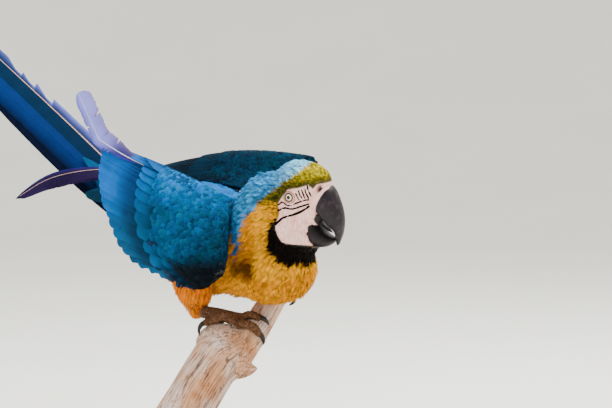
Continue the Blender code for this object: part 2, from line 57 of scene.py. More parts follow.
MM = 0.001
TRUNK_MIDDLE = np.array((-20.0, 0.0, 290.0))
PATCH = 0.003                   # width of one tuft's place on the baking map
BODY = "root"

HEAD_PLACE = np.array((118.0, -4.0, 58.0))
HEAD_HEADING = 20.0             # degrees to the bird's left
HEAD_ROLL = 10.0                # degrees, crown towards the bird's right
EYE_RADIUS = 8.0
EYE_SIDE = 15.4
EYE_FORWARD = 6.5
HEAD_FLANK = 12.0               # from the middle of the head to where its flat sides begin

Points = np.ndarray
Draws = np.random.Generator


# ------------------------------------------------------------------ plain helpers

def linear(code: str) -> tuple[float, float, float]:
    """A hex sRGB colour as linear light."""
    parts = [int(code[i:i + 2], 16) / 255 for i in (1, 3, 5)]
    return tuple(c / 12.92 if c <= 0.04045 else ((c + 0.055) / 1.055) ** 2.4 for c in parts)


def rgba(code: str) -> tuple[float, float, float, float]:
    """A hex sRGB colour as an opaque linear socket value."""
    return (*linear(code), 1.0)


def smoothstep(low: float, high: float, value: Points) -> Points:
    """0 below low, 1 above high, with a soft ramp between."""
    t = np.clip((value - low) / (high - low), 0, 1)
    return t * t * (3 - 2 * t)


def hump(value: Points, middle: float, width: float) -> Points:
    """1 where value is at the middle, falling smoothly to 0 on both sides."""
    return np.exp(-((value - middle) / width) ** 2)


def unit(vectors: Points) -> Points:
    """Rows scaled to length 1."""
    return vectors / np.maximum(np.linalg.norm(vectors, axis=-1, keepdims=True), 1e-9)


def turned(heading: float, pitch: float, roll: float) -> Points:
    """Axes of something that faces +X, rolled, pitched nose down and headed left, as columns."""
    turn = (Matrix.Rotation(math.radians(heading), 3, "Z") @ Matrix.Rotation(math.radians(pitch), 3, "Y")
            @ Matrix.Rotation(math.radians(roll), 3, "X"))
    return np.array(turn)


HEAD_AXES = turned(HEAD_HEADING, 0, HEAD_ROLL)


def on_head(places: Points) -> Points:
    """Places on the head (forward, left, up) as body millimetres."""
    return HEAD_PLACE + np.asarray(places, float) @ HEAD_AXES.T


def head_view(places: Points) -> Points:
    """Body millimetres as places on the head (forward, left, up)."""
    return (np.asarray(places, float) - HEAD_PLACE) @ HEAD_AXES


def sampled(where: Points, run: Points, rows: Points) -> Points:
    """Rows of values that lie at run, read at other places between them."""
    return np.stack([np.interp(where, run, line) for line in rows.T], axis=-1)


def travelled(route: Points) -> Points:
    """How far along a route each of its points lies."""
    return np.concatenate([[0], np.cumsum(np.linalg.norm(np.diff(route, axis=0), axis=1))])


def along_surface(way: Points, out: Points) -> Points:
    """Unit directions, their part along the outward way taken away."""
    return unit(way - out * (way * out).sum(axis=1, keepdims=True))


def swung(way: Points, out: Points, angle: Points) -> Points:
    """Directions turned about the outward way by angles in radians."""
    turn = angle[:, None]
    return unit(way * np.cos(turn) + np.cross(out, way) * np.sin(turn))


def tube_sides(rows: int, around: int) -> list:
    """Faces between closed rings of points that follow one another."""
    faces = []
    for row in range(rows - 1):
        for k in range(around):
            a, b = row * around + k, row * around + (k + 1) % around
            faces.append((a, a + around, b + around, b))
    return faces


def metres(places: Points) -> Points:
    """Body millimetres as metres in the frame."""
    return (np.asarray(places, float) + TRUNK_MIDDLE) * MM


def body_mm(places: Points) -> Points:
    """Metres in the frame as body millimetres."""
    return np.asarray(places, float) / MM - TRUNK_MIDDLE


def smooth_curve(points: Points, count: int) -> Points:
    """Points evenly spaced by step along a curve through the given ones."""
    route = np.asarray(points, float)
    ends = np.vstack([2 * route[0] - route[1], route, 2 * route[-1] - route[-2]])
    steps = np.linspace(0, len(route) - 1, count)
    first = np.minimum(steps.astype(int), len(route) - 2)
    t = (steps - first)[:, None]
    a, b, c, d = (ends[first + k] for k in range(4))
    return 0.5 * (2 * b + (c - a) * t + (2 * a - 5 * b + 4 * c - d) * t ** 2
                  + (3 * b - a - 3 * c + d) * t ** 3)


def inside(outline: Points, places: Points) -> Points:
    """Signed distance of 2-D places to a closed outline, positive inside."""
    shape = np.asarray(outline, float)
    ends = np.roll(shape, -1, axis=0)
    least = np.full(len(places), 1e9)
    odd = np.zeros(len(places), bool)
    for a, b in zip(shape, ends):
        along = b - a
        t = np.clip(((places - a) @ along) / max(along @ along, 1e-9), 0, 1)
        least = np.minimum(least, np.linalg.norm(places - a - t[:, None] * along, axis=1))
        crosses = (a[1] > places[:, 1]) != (b[1] > places[:, 1])
        reach = a[0] + (places[:, 1] - a[1]) * along[0] / (along[1] if abs(along[1]) > 1e-9 else 1e-9)
        odd ^= crosses & (places[:, 0] < reach)
    return np.where(odd, least, -least)


def grain(places: Points, scale: float, octaves: int = 2, shift: float = 0.0) -> Points:
    """Smooth noise from about -1 to 1 at each place; scale is the size of its lumps."""
    return np.array([fractal(Vector(p) / scale + Vector((shift, shift, shift)), 1.0, 2.0, octaves)
                     for p in places])


def linked(name: str, data: object) -> Object:
    """A new object in the scene."""
    piece = bpy.data.objects.new(name, data)
    bpy.context.scene.collection.objects.link(piece)
    return piece


def mesh_object(name: str, places: Points, faces: list) -> Object:
    """A smooth object from body millimetres and faces."""
    mesh = bpy.data.meshes.new(name)
    mesh.from_pydata(metres(places).tolist(), [], faces)
    mesh.validate()
    mesh.shade_smooth()
    return linked(name, mesh)


def face_outward(mesh: Mesh) -> None:
    """Turn a closed mesh's faces outward."""
    work = bmesh.new()
    work.from_mesh(mesh)
    bmesh.ops.recalc_face_normals(work, faces=work.faces)
    work.to_mesh(mesh)
    work.free()


def write(mesh: Mesh, name: str, kind: str, values: Points) -> None:
    """Store one value for each point of a mesh."""
    layer = mesh.attributes.get(name) or mesh.attributes.new(name, kind, "POINT")
    slot = {"FLOAT": "value", "INT": "value", "FLOAT_COLOR": "color"}.get(kind, "vector")
    flat = np.asarray(values, np.int32 if kind == "INT" else np.float32)
    layer.data.foreach_set(slot, np.ascontiguousarray(flat).ravel())


def write_tint(mesh: Mesh, colours: Points) -> None:
    """Store a linear colour for each point of a mesh."""
    write(mesh, "tint", "FLOAT_COLOR", np.hstack([colours, np.ones((len(colours), 1))]))


def write_map(mesh: Mesh, name: str, spots: Points) -> None:
    """Add a UV map from one spot for each point of a mesh."""
    corner = np.empty(len(mesh.loops), np.int32)
    mesh.loops.foreach_get("vertex_index", corner)
    layer = mesh.uv_layers.new(name=name)
    layer.data.foreach_set("uv", spots[corner].astype(np.float32).ravel())


def coordinates(mesh: Mesh) -> Points:
    """A mesh's vertices in body millimetres."""
    flat = np.empty(len(mesh.vertices) * 3, np.float32)
    mesh.vertices.foreach_get("co", flat)
    return body_mm(flat.reshape(-1, 3))


def normals(mesh: Mesh) -> Points:
    """A mesh's vertex normals."""
    flat = np.empty(len(mesh.vertices) * 3, np.float32)
    mesh.vertex_normals.foreach_get("vector", flat)
    return flat.reshape(-1, 3).astype(float)


def place_vertices(mesh: Mesh, places: Points) -> None:
    """Move a mesh's vertices to places in body millimetres."""
    mesh.vertices.foreach_set("co", metres(places).astype(np.float32).ravel())
    mesh.update()


def baked(piece: Object) -> Object:
    """Turn a piece's modifiers into its mesh."""
    graph = bpy.context.evaluated_depsgraph_get()
    mesh = bpy.data.meshes.new_from_object(piece.evaluated_get(graph), preserve_all_data_layers=True,
                                           depsgraph=graph)
    piece.modifiers.clear()
    piece.data = mesh
    return piece


def flesh(name: str, nodes: tuple[str, ...]) -> Object:
    """A merged copy of some solids as one object."""
    work = bmesh.new()
    for node in nodes:
        work.from_mesh(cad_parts[node].data)
    bmesh.ops.remove_doubles(work, verts=work.verts, dist=1e-6)
    mesh = bpy.data.meshes.new(name)
    work.to_mesh(mesh)
    work.free()
    return linked(name, mesh)


def melted(name: str, nodes: tuple[str, ...], voxel: float, rounds: int) -> Object:
    """Solids blended into one even surface of small squares."""
    piece = flesh(name, nodes)
    remesh = piece.modifiers.new("melt", "REMESH")
    remesh.mode = "VOXEL"
    remesh.voxel_size = voxel * MM
    soften = piece.modifiers.new("soften", "SMOOTH")
    soften.factor = 0.5
    soften.iterations = rounds
    baked(piece)
    piece.data.materials.clear()
    piece.data.shade_smooth()
    return piece


def finish_piece(piece: Object, replaced: tuple[str, ...] = ()) -> None:
    """Hand a finished piece to the frame and report it."""
    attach(piece, BODY)
    if replaced:
        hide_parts(*replaced)
    count = sum(len(p.vertices) - 2 for p in piece.data.polygons)
    LOG.info("%s: %d triangles", piece.name, count)


def mesh_tree(mesh: Mesh) -> BVHTree:
    """A mesh's faces, for finding the nearest and what a ray meets."""
    return BVHTree.FromPolygons([v.co[:] for v in mesh.vertices], [p.vertices[:] for p in mesh.polygons])


def solid_tree(node: str) -> BVHTree:
    """The surface of one solid, for finding what it hides."""
    return mesh_tree(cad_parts[node].data)


class Side(Enum):
    """The bird's own sides; the value is the sign of +Y."""
    RIGHT = -1
    LEFT = 1

    @property
    def label(self) -> str:
        """The side's name in names of nodes and pieces."""
        return self.name.lower()


# ------------------------------------------------------------------ markings

class Hue(Enum):
    """Colours of skin and plumage by the place they belong to."""
    BARE = "#f3c3ba"
    FOREHEAD = "#ae9c0e"
    OLIVE = "#4d4a0a"
    CROWN = "#7fcbf6"
    NAPE = "#3487c0"
    MANTLE = "#085c9c"
    CHEEK = "#e49e00"
    BREAST = "#d08600"
    BELLY = "#dc9400"
    THIGH = "#fa8600"
    THROAT = "#0d0807"
    VENT = "#5f7262"
    # a dark brown patch on the breast below the neck
    STAIN = "#38180f"
    WING = "#004064"
    WING_UPPER = "#015c98"
    WING_FORE = "#032c42"
    # painted shade: near-black for the lower front of the near wing and its primaries folded under the
    # secondaries
    WING_WRIST = "#060b10"
    WING_BACK = "#045cb2"
    VIOLET = "#3a3aa0"
    # painted shade: the far wing takes darker tones than the near wing throughout
    FAR = "#001c2e"
    FAR_EDGE = "#002f44"
    # painted shade: the far wing's primaries, their violet darkened because their upper side lies in shade
    PRIMARY = "#1a1030"
    PRIMARY_EDGE = "#10186a"
    LILAC = "#9092ee"
    BENT = "#343078"
    MAUVE = "#74688e"
    COVERT = "#02527a"
    TAIL = "#042440"
    TAIL_BLUE = "#032a62"
    TAIL_DARK = "#05102a"
    TAIL_EDGE = "#6468bc"
    SCALE = "#5c3e28"
    RACHIS = "#061c30"
    SHAFT = "#c9a59a"
    PALE_SHAFT = "#ded4dc"


def filled(hue: Hue, count: int) -> Points:
    """One colour, as linear light, for each of some places."""
    return np.tile(linear(hue.value), (count, 1))


def blend_hue(base: Points, hue: Hue, amount: Points) -> Points:
    """Mix one colour into an array of linear colours."""
    weight = np.asarray(amount, float)[:, None]
    return base * (1 - weight) + np.array(linear(hue.value)) * weight


@dataclass
class Markings:
    """Where each colour of the bird lies, from landmarks in side view of head and body."""
    face: tuple = ((50, 14), (43, 14), (38, 13.5), (33.8, 9), (29.8, 13.4), (26, 12.7), (18.7, 10.8),
                   (12.3, 10), (5.5, 8.5), (0.3, 3.4), (-4.7, -4.3), (-6, -7.5), (-4.6, -13), (-4.4, -18),
                   (-6.2, -22.4), (-9, -28), (-10, -34.6), (-8, -42.3), (-3.3, -48.6), (3.4, -50.8),
                   (15.6, -52.6), (22.4, -54), (25.8, -56), (34, -57), (70, -57), (70, 14))
    throat: tuple = ((-4, -21), (-14, -27.8), (-20, -37.7), (-22.3, -46.8), (-20.7, -58), (-14.3, -65),
                     (-6.6, -71.7), (2.6, -76), (10.4, -77), (16, -82), (40, -82), (50, -60), (26, -56),
                     (15.6, -52), (3, -50), (-4, -48), (-8.5, -42), (-10.5, -34.6), (-8, -26))
    blue_head: tuple = ((22.6, 29), (12.3, 21.7), (1.3, 15.6), (-8.2, 9), (-14.3, 4), (-22.5, -1.8),
                        (-27.3, -5), (-32.9, -14), (-43, -17.8), (-46, -27.8), (-52, -38.4),
                        (-53.6, -47.8), (-53.3, -58), (-62, -62), (-140, -60), (-140, 90), (32, 90),
                        (27, 34))
    green: tuple = (
        (27, 34), (22.6, 29), (12.3, 21.7), (1.3, 15.6), (-8.2, 9), (-14.3, 4), (-22.5, -1.8), (-27.3, -5),
        (-18.7, -4.3), (-6.8, -5.3), (0, 0), (20, 0), (34, 0), (70, 0), (70, 60), (30, 60))
    blue_body: tuple = ((102.7, 46), (97, 38.5), (87, 35), (84, 25), (77.3, 14.8), (74.7, 5.8),
                        (74.4, -4.2), (71, -18), (66.5, -6), (63, 8), (60, 18), (52, 18), (40, 10), (0, 0),
                        (-40, -2), (-80, 4), (-120, 22), (-240, 60), (-240, 220), (160, 220), (160, 60))
    gape: tuple = ((29.5, -27), (32.5, -21), (37, -19), (44, -30), (47, -46), (38, -50), (32, -38))
    cere: tuple = (
        (10, 20), (48.1, 20), (48.1, 7.4), (45.2, 5.1), (40.7, -1.8), (35.2, -10.8), (32.5, -19), (31, -24),
        (10, -30))
    nostril: tuple = (40.0, 8.2)
    nostril_size: tuple = (2.1, 3.9)
    stain_place: tuple = (88.0, -42.0, -25.0)
    stain_size: tuple = (25.0, 24.0, 12.0)

    def hollow(self, head: Points) -> Points:
        """Squared distance of places on the head from the middle of a nostril, 1 at its rim."""
        up = head[:, 2] - self.nostril[1]
        forward = head[:, 0] - self.nostril[0] - up * 0.28
        return (forward / self.nostril_size[0]) ** 2 + (up / self.nostril_size[1]) ** 2

    def bare(self, places: Points, soft: float = 0.8) -> Points:
        """How far each place belongs to the bare skin of the face, 0 to 1."""
        head = head_view(places)
        within = smoothstep(-soft, soft, inside(self.face, head[:, [0, 2]]))
        return within * smoothstep(-6, -3, head[:, 0] + 10)

    def colour(self, places: Points, zones: Points, rng: Draws, jagged: float = 0.0) -> Points:
        """Linear colour of each place, in body millimetres.

        Args:
            places: Where the colour is wanted.
            zones: The number in ZONES of the solid that each place belongs to.
            rng: Source of the ragged edges.
            jagged: How far, in millimetres, the edges between colours wander.

        Returns:
            One linear colour a row.
        """
        wander = rng.normal(0, 1, places.shape) * jagged
        here = places + wander
        head = head_view(here)
        side_view = head[:, [0, 2]]
        on_neck = smoothstep(-38, -30, head[:, 0]) * smoothstep(-92, -84, head[:, 2])

        breast = filled(Hue.BREAST, len(places))
        breast = blend_hue(breast, Hue.BELLY, smoothstep(20, -60, here[:, 0]) * 0.8)
        vent = smoothstep(-52, -76, here[:, 0]) * smoothstep(12, -6, here[:, 2])
        breast = blend_hue(breast, Hue.VENT, vent)
        # a darker brown patch on the breast below the neck
        dark_patch = np.exp(-(((here - self.stain_place) / self.stain_size) ** 2).sum(axis=1))
        breast = blend_hue(breast, Hue.STAIN, np.clip(dark_patch * 1.3, 0, 0.88))
        mantle = filled(Hue.MANTLE, len(places))
        mantle = blend_hue(mantle, Hue.NAPE, smoothstep(40, 85, here[:, 0]) * smoothstep(-10, 35, here[:, 2]))
        on_back = smoothstep(-1.5, 1.5, inside(self.blue_body, here[:, [0, 2]]))
        trunk = breast + (mantle - breast) * on_back[:, None]

        cap = filled(Hue.CHEEK, len(places))
        blue = filled(Hue.NAPE, len(places))
        blue = blend_hue(blue, Hue.CROWN, smoothstep(-20, 18, head[:, 0]) * smoothstep(0, 26, head[:, 2]))
        cap += (blue - cap) * smoothstep(-1.2, 1.2, inside(self.blue_head, side_view))[:, None]
        green = filled(Hue.FOREHEAD, len(places))
        green = blend_hue(green, Hue.OLIVE, smoothstep(26, 12, head[:, 2]))
        on_green = smoothstep(-4.5, 2.5, inside(self.green, side_view)) * smoothstep(-7, 0, head[:, 2] + 5)
        cap += (green - cap) * on_green[:, None]
        cap = blend_hue(cap, Hue.THROAT, smoothstep(-1.0, 1.0, inside(self.throat, side_view)))
        cap = blend_hue(cap, Hue.BARE, self.bare(places))
        colours = trunk + (cap - trunk) * on_neck[:, None]

        colours[in_zone(zones, "thigh_right", "thigh_left")] = linear(Hue.THIGH.value)
        colours[in_zone(zones, "foot_right", "foot_left")] = linear(Hue.SCALE.value)
        for side in Side:
            arm = in_zone(zones, f"wing_{side.label}_arm")
            colours[arm] = self.wing(places[arm], side)
        return colours

    def wing(self, places: Points, side: Side) -> Points:
        """Linear colour of the upper side of a wing at each place."""
        colours = filled(Hue.WING if side is Side.RIGHT else Hue.FAR, len(places))
        x, z = places[:, 0], places[:, 2]
        # the far wing is painted in shade, a little lighter towards the front
        if side is Side.LEFT:
            return blend_hue(colours, Hue.FAR_EDGE, smoothstep(-40, 60, x) * 0.6)
        colours = blend_hue(colours, Hue.WING_UPPER, smoothstep(30, 70, z) * smoothstep(-90, 0, x))
        colours = blend_hue(colours, Hue.WING_BACK, smoothstep(-20, -110, x) * smoothstep(0, 80, z))
        colours = blend_hue(colours, Hue.WING_FORE, smoothstep(25, 72, x) * smoothstep(40, 0, z))
        # near-black at the lower front of the near wing: painted shade
        return blend_hue(colours, Hue.WING_WRIST, smoothstep(-6, -26, z) * smoothstep(8, 34, x) * 0.96)


ZONES = ("trunk", "neck", "head", "thigh_right", "thigh_left", "wing_right_arm", "wing_left_arm",
         "foot_right", "foot_left", "eye_right", "eye_left")
FLESH = ZONES[:9]
MARKINGS = Markings()


def in_zone(zones: Points, *names: str) -> Points:
    """Whether each place belongs to one of the named solids."""
    return np.isin(zones, [ZONES.index(name) for name in names])


class ZoneFinder:
    """Tells which solid each place lies nearest to."""

    def __init__(self, nodes: tuple[str, ...]) -> None:
        """Gather the solids' faces."""
        corners, faces, self.owner = [], [], []
        for node in nodes:
            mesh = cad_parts[node].data
            first = len(corners)
            corners += [v.co.copy() for v in mesh.vertices]
            faces += [[first + i for i in p.vertices] for p in mesh.polygons]
            self.owner += [ZONES.index(node)] * len(mesh.polygons)
        self.tree = BVHTree.FromPolygons(corners, faces)

    def zones(self, places: Points) -> Points:
        """The number in ZONES of the solid nearest each place in body millimetres."""
        spots = metres(places)
        return np.array([self.owner[self.tree.find_nearest(Vector(p))[2]] for p in spots])


# ------------------------------------------------------------------ materials

# A colour Mix node takes its factor on input 0 and its colours on 6 and 7, and gives a colour on output 2.
MIX = {"data_type": "RGBA"}
MULTIPLY = {"data_type": "RGBA", "blend_type": "MULTIPLY"}
TURN = 2 * math.pi


def feed(node: Node, inputs: dict) -> Node:
    """Put a value, or a link from a socket or a node's first output, on each input, by name or number."""
    for key, value in inputs.items():
        source = value.outputs[0] if isinstance(value, Node) else value
        if isinstance(source, NodeSocket):
            node.id_data.links.new(source, node.inputs[key])
        else:
            node.inputs[key].default_value = value
    return node


def add_node(tree: NodeTree, kind: str, inputs: dict | None = None, **settings: object) -> Node:
    """Add a node with its settings and with a value or a link on each given input."""
    node = tree.nodes.new(kind)
    for key, value in settings.items():
        setattr(node, key, value)
    return feed(node, inputs or {})


def new_material(name: str) -> tuple[Material, Callable, Node]:
    """A material with only a Principled shader and its output, what adds nodes to it, and the shader."""
    made = bpy.data.materials.new(name)
    made.use_nodes = True
    made.node_tree.nodes.clear()
    add = partial(add_node, made.node_tree)
    shader = add("ShaderNodeBsdfPrincipled")
    add("ShaderNodeOutputMaterial", {"Surface": shader})
    return made, add, shader


def with_stops(ramp: Node, stops: tuple) -> Node:
    """Give a colour ramp its stops (position, hex)."""
    line = ramp.color_ramp.elements
    while len(line) > 1:
        line.remove(line[-1])
    line[0].position, line[0].color = stops[0][0], rgba(stops[0][1])
    for place, code in stops[1:]:
        line.new(place).color = rgba(code)
    return ramp


@dataclass(frozen=True)
class FeatherFinish:
    """Barbed keratin vanes: fine slanting barbs either side of a shaft, soft silky gloss."""
    name: str
    barbs: float = 18.0          # how many show along the vane, coarser than life so that they read
    rim: float = 0.35            # how much of the paler tone the edge of each vane takes
    # root is the tone of each vane's base: partly real, partly painted shade under the vane above
    root: float = 0.5            # tone of its base
    roughness: float = 0.62
    slant: float = 15.0          # how far each barb slants towards the tip, in barbs
    depth: float = 0.2           # strength of the barbs' relief
    barb_tone: float = 0.26      # how much barbs differ in tone

    def make(self) -> Material:
        """Build the material from the vane's own map and its tint."""
        made, add, shader = new_material(self.name)
        split = add("ShaderNodeSeparateXYZ", {0: add("ShaderNodeUVMap", uv_map="vane")})
        tint = add("ShaderNodeAttribute", attribute_name="tint")
        place = add("ShaderNodeTexCoord").outputs["Object"]
        along = split.outputs[1]
        across = add("ShaderNodeMath", {0: split.outputs[0], 1: 0.5}, operation="SUBTRACT")
        across = add("ShaderNodeMath", {0: across}, operation="ABSOLUTE")
        wobble = add("ShaderNodeTexNoise", {"Vector": place, "Scale": 180.0, "Detail": 2.0})
        broad = add("ShaderNodeTexNoise", {"Vector": place, "Scale": 55.0, "Detail": 3.0})

        phase = add("ShaderNodeMath", {0: across, 1: -self.slant * TURN}, operation="MULTIPLY")
        phase = add("ShaderNodeMath", {0: along, 1: self.barbs * TURN, 2: phase}, operation="MULTIPLY_ADD")
        phase = add("ShaderNodeMath", {0: wobble, 1: 1.2 * TURN, 2: phase}, operation="MULTIPLY_ADD")
        wave = add("ShaderNodeMath", {0: phase}, operation="SINE")
        barb = add("ShaderNodeMath", {0: wave, 1: 0.5, 2: 0.5}, operation="MULTIPLY_ADD")

        # the base of each vane is darkened: partly the feather's real darker base, partly painted shade where
        # the vane above lies over it
        base = (self.root, self.root, self.root * 1.04, 1)
        dark = add("ShaderNodeMix", {0: 1.0, 6: tint, 7: base}, **MULTIPLY).outputs[2]
        rise = add("ShaderNodeMapRange", {0: along, 1: 0.15, 2: 0.8}, interpolation_type="SMOOTHSTEP")
        colour = add("ShaderNodeMix", {0: rise, 6: dark, 7: tint}, **MIX).outputs[2]
        sides = add("ShaderNodeMapRange", {0: across, 1: 0.34, 2: 0.5})
        end = add("ShaderNodeMapRange", {0: along, 1: 0.86, 2: 1.0})
        edge = add("ShaderNodeMath", {0: sides, 1: end}, operation="MAXIMUM")
        edge = add("ShaderNodeMath", {0: edge, 1: self.rim}, operation="MULTIPLY")
        pale = add("ShaderNodeMix", {0: 1.0, 6: tint, 7: (1.7, 1.65, 1.6, 1)}, **MULTIPLY).outputs[2]
        colour = add("ShaderNodeMix", {0: edge, 6: colour, 7: pale}, **MIX).outputs[2]

        stripe = {0: barb, 1: self.barb_tone, 2: 1.0 - self.barb_tone * 0.7}
        stripe = add("ShaderNodeMath", stripe, operation="MULTIPLY_ADD")
        mottle = add("ShaderNodeMath", {0: broad, 1: 0.5, 2: 0.78}, operation="MULTIPLY_ADD")
        mottle = add("ShaderNodeMath", {0: stripe, 1: mottle}, operation="MULTIPLY")
        colour = add("ShaderNodeMix", {0: 1.0, 6: colour, 7: mottle}, **MULTIPLY).outputs[2]
        bump = add("ShaderNodeBump", {"Strength": self.depth, "Distance": 0.0004, "Height": barb})
        feed(shader, {"Base Color": colour, "Normal": bump, "Roughness": self.roughness,
                      "Specular IOR Level": 0.1, "IOR": 1.25})
        return made


@dataclass(frozen=True)
class SkinFinish:
    """Bare living-looking skin: dry, pink-white, with fine creases and pores."""
    name: str = "bare_skin"
    blush: str = "#f2c9c0"
    crease: float = 1.6          # millimetres between creases

    def make(self) -> Material:
        """Build the material; its colours are the markings kept in the mesh."""
        made, add, shader = new_material(self.name)
        tint = add("ShaderNodeAttribute", attribute_name="tint")
        place = add("ShaderNodeTexCoord").outputs["Object"]
        flat = add("ShaderNodeMapping", {"Vector": place, "Scale": (1.0, 1.0, 0.3)})
        crease = add("ShaderNodeTexNoise", {"Vector": flat, "Scale": 1 / (self.crease * MM), "Detail": 4.0})
        broad = add("ShaderNodeTexNoise", {"Vector": place, "Scale": 110.0, "Detail": 3.0})
        blush = add("ShaderNodeMix", {0: 1.0, 6: tint, 7: rgba(self.blush)}, **MULTIPLY).outputs[2]
        flush = add("ShaderNodeMapRange", {0: broad, 1: 0.45, 2: 0.8})
        colour = add("ShaderNodeMix", {0: flush, 6: tint, 7: blush}, **MIX).outputs[2]
        # painted shade in the creases: the colour darkens along the crease pattern
        shade = add("ShaderNodeMapRange", {0: crease, 1: 0.3, 2: 0.6, 3: 0.70, 4: 1.05})
        colour = add("ShaderNodeMix", {0: 1.0, 6: colour, 7: shade}, **MULTIPLY).outputs[2]
        bump = add("ShaderNodeBump", {"Strength": 0.5, "Distance": 0.0005, "Height": crease})
        feed(shader, {"Base Color": colour, "Normal": bump, "Roughness": 0.62, "IOR": 1.4})
        return made


@dataclass(frozen=True)
class HornFinish:
    """Grown keratin of bill and claws: near black, dry, with fine growth lines and paler scuffs."""
    name: str = "bill_horn"
    base: str = "#140d13"
    worn: str = "#4c3a46"
    roughness: float = 0.4
    growth: float = 2.2          # millimetres between growth lines

    def make(self) -> Material:
        """Build the material; growth lines follow the piece's own length map."""
        made, add, shader = new_material(self.name)
        along = add("ShaderNodeSeparateXYZ", {0: add("ShaderNodeUVMap", uv_map="vane")}).outputs[1]
        place = add("ShaderNodeTexCoord").outputs["Object"]
        wear = add("ShaderNodeTexNoise", {"Vector": place, "Scale": 160.0, "Detail": 5.0, "Roughness": 0.65})
        fine = add("ShaderNodeTexNoise", {"Vector": place, "Scale": 700.0, "Detail": 3.0})
        drift = add("ShaderNodeMath", {0: wear, 1: 9.0}, operation="MULTIPLY")
        phase = add("ShaderNodeMath", {0: along, 1: 150.0 / self.growth, 2: drift}, operation="MULTIPLY_ADD")
        line = add("ShaderNodeMath", {0: phase}, operation="SINE")
        share = add("ShaderNodeMath", {0: line, 1: 0.35, 2: 0.55}, operation="MULTIPLY_ADD")
        scuff = add("ShaderNodeMapRange", {0: wear, 1: 0.5, 2: 0.78})
        scuff = add("ShaderNodeMath", {0: scuff, 1: share}, operation="MULTIPLY")
        horn = add("ShaderNodeMix", {0: scuff, 6: rgba(self.base), 7: rgba(self.worn)}, **MIX).outputs[2]
        fleshy = add("ShaderNodeAttribute", attribute_name="cere").outputs["Fac"]
        tint = add("ShaderNodeAttribute", attribute_name="tint")
        colour = add("ShaderNodeMix", {0: fleshy, 6: horn, 7: tint}, **MIX).outputs[2]
        rough = add("ShaderNodeMapRange", {0: wear, 3: self.roughness - 0.12, 4: self.roughness + 0.2})
        rough = add("ShaderNodeMath", {0: fleshy, 1: 0.2, 2: rough}, operation="MULTIPLY_ADD")
        height = add("ShaderNodeMath", {0: line, 1: 0.25, 2: fine}, operation="MULTIPLY_ADD")
        bump = add("ShaderNodeBump", {"Strength": 0.25, "Distance": 0.0003, "Height": height})
        feed(shader, {"Base Color": colour, "Roughness": rough, "Normal": bump, "Specular IOR Level": 0.25})
        return made


@dataclass(frozen=True)
class EyeFinish:
    """A glass eye: cream iris with fine rays, dark rim, black pupil, under a clear wet coat."""
    name: str = "glass_eye"
    rings: tuple = ((0.0, "#050404"), (0.235, "#050404"), (0.255, "#6b6248"), (0.28, "#d6d2b0"),
                    (0.36, "#f0ecc8"), (0.42, "#e2dab0"), (0.445, "#8a7a52"), (0.465, "#0c0908"),
                    (1.0, "#0c0908"))

    def make(self) -> Material:
        """Build the material from the eye's own rings, from its axis outward."""
        made, add, shader = new_material(self.name)
        turn, away, _ = add("ShaderNodeSeparateXYZ", {0: add("ShaderNodeUVMap", uv_map="vane")}).outputs
        turn = add("ShaderNodeMath", {0: turn, 1: 60.0}, operation="MULTIPLY")
        rays = add("ShaderNodeCombineXYZ", {0: turn, 1: away})
        ray = add("ShaderNodeTexNoise", {"Vector": rays, "Scale": 1.0, "Detail": 2.0}, noise_dimensions="2D")
        shift = add("ShaderNodeMath", {0: ray, 1: 0.04, 2: -0.02}, operation="MULTIPLY_ADD")
        away = add("ShaderNodeMath", {0: away, 1: shift}, operation="ADD")
        rings = with_stops(add("ShaderNodeValToRGB", {0: away}), self.rings)
        feed(shader, {"Base Color": rings, "Roughness": 0.12, "Specular IOR Level": 0.2, "Coat Weight": 0.25,
                      "Coat Roughness": 0.02})
        return made


@dataclass(frozen=True)
class WoodFinish:
    """Bleached dead wood without bark: silvery pink-buff, with dark drying cracks and a fibrous grain."""
    name: str = "bleached_wood"
    tones: tuple = ((0.3, "#b8713f"), (0.45, "#d6a07a"), (0.6, "#e6c8b8"), (0.8, "#efdfd8"))
    fine_crack: str = "#5f3a26"
    deep_crack: str = "#3d2418"

    def make(self) -> Material:
        """Build the material on the branch's own along-the-grain map, in metres."""
        made, add, shader = new_material(self.name)
        own = add("ShaderNodeAttribute", attribute_name="fibre").outputs["Vector"]
        crack = add("ShaderNodeAttribute", attribute_name="crack").outputs["Fac"]
        place = add("ShaderNodeTexCoord").outputs["Object"]
        fibre = add("ShaderNodeMapping", {"Vector": own, "Scale": (900.0, 900.0, 28.0)})
        fibre = add("ShaderNodeTexNoise", {"Vector": fibre, "Scale": 1.0, "Detail": 5.0, "Roughness": 0.6})
        line = add("ShaderNodeMapping", {"Vector": own, "Scale": (260.0, 260.0, 9.0)})
        line = add("ShaderNodeTexNoise", {"Vector": line, "Scale": 1.0, "Detail": 4.0, "Distortion": 0.4})
        broad = add("ShaderNodeTexNoise", {"Vector": place, "Scale": 26.0, "Detail": 3.0})
        tone = with_stops(add("ShaderNodeValToRGB", {0: broad}), self.tones)
        weak = add("ShaderNodeMapRange", {0: fibre, 1: 0.3, 2: 0.65, 3: 0.6, 4: 1.08})
        colour = add("ShaderNodeMix", {0: 1.0, 6: tone, 7: weak}, **MULTIPLY).outputs[2]
        offset = add("ShaderNodeMath", {0: line, 1: 0.5}, operation="SUBTRACT")
        offset = add("ShaderNodeMath", {0: offset}, operation="ABSOLUTE")
        thin = add("ShaderNodeMapRange", {0: offset, 1: 0.03, 2: 0.006})
        seen = add("ShaderNodeMath", {0: thin, 1: 0.85}, operation="MULTIPLY")
        colour = add("ShaderNodeMix", {0: seen, 6: colour, 7: rgba(self.fine_crack)}, **MIX).outputs[2]
        colour = add("ShaderNodeMix", {0: crack, 6: colour, 7: rgba(self.deep_crack)}, **MIX).outputs[2]
        height = add("ShaderNodeMath", {0: fibre, 1: thin}, operation="SUBTRACT")
        bump = add("ShaderNodeBump", {"Strength": 0.7, "Distance": 0.0012, "Height": height})
        feed(shader, {"Base Color": colour, "Normal": bump, "Roughness": 0.8})
        return made


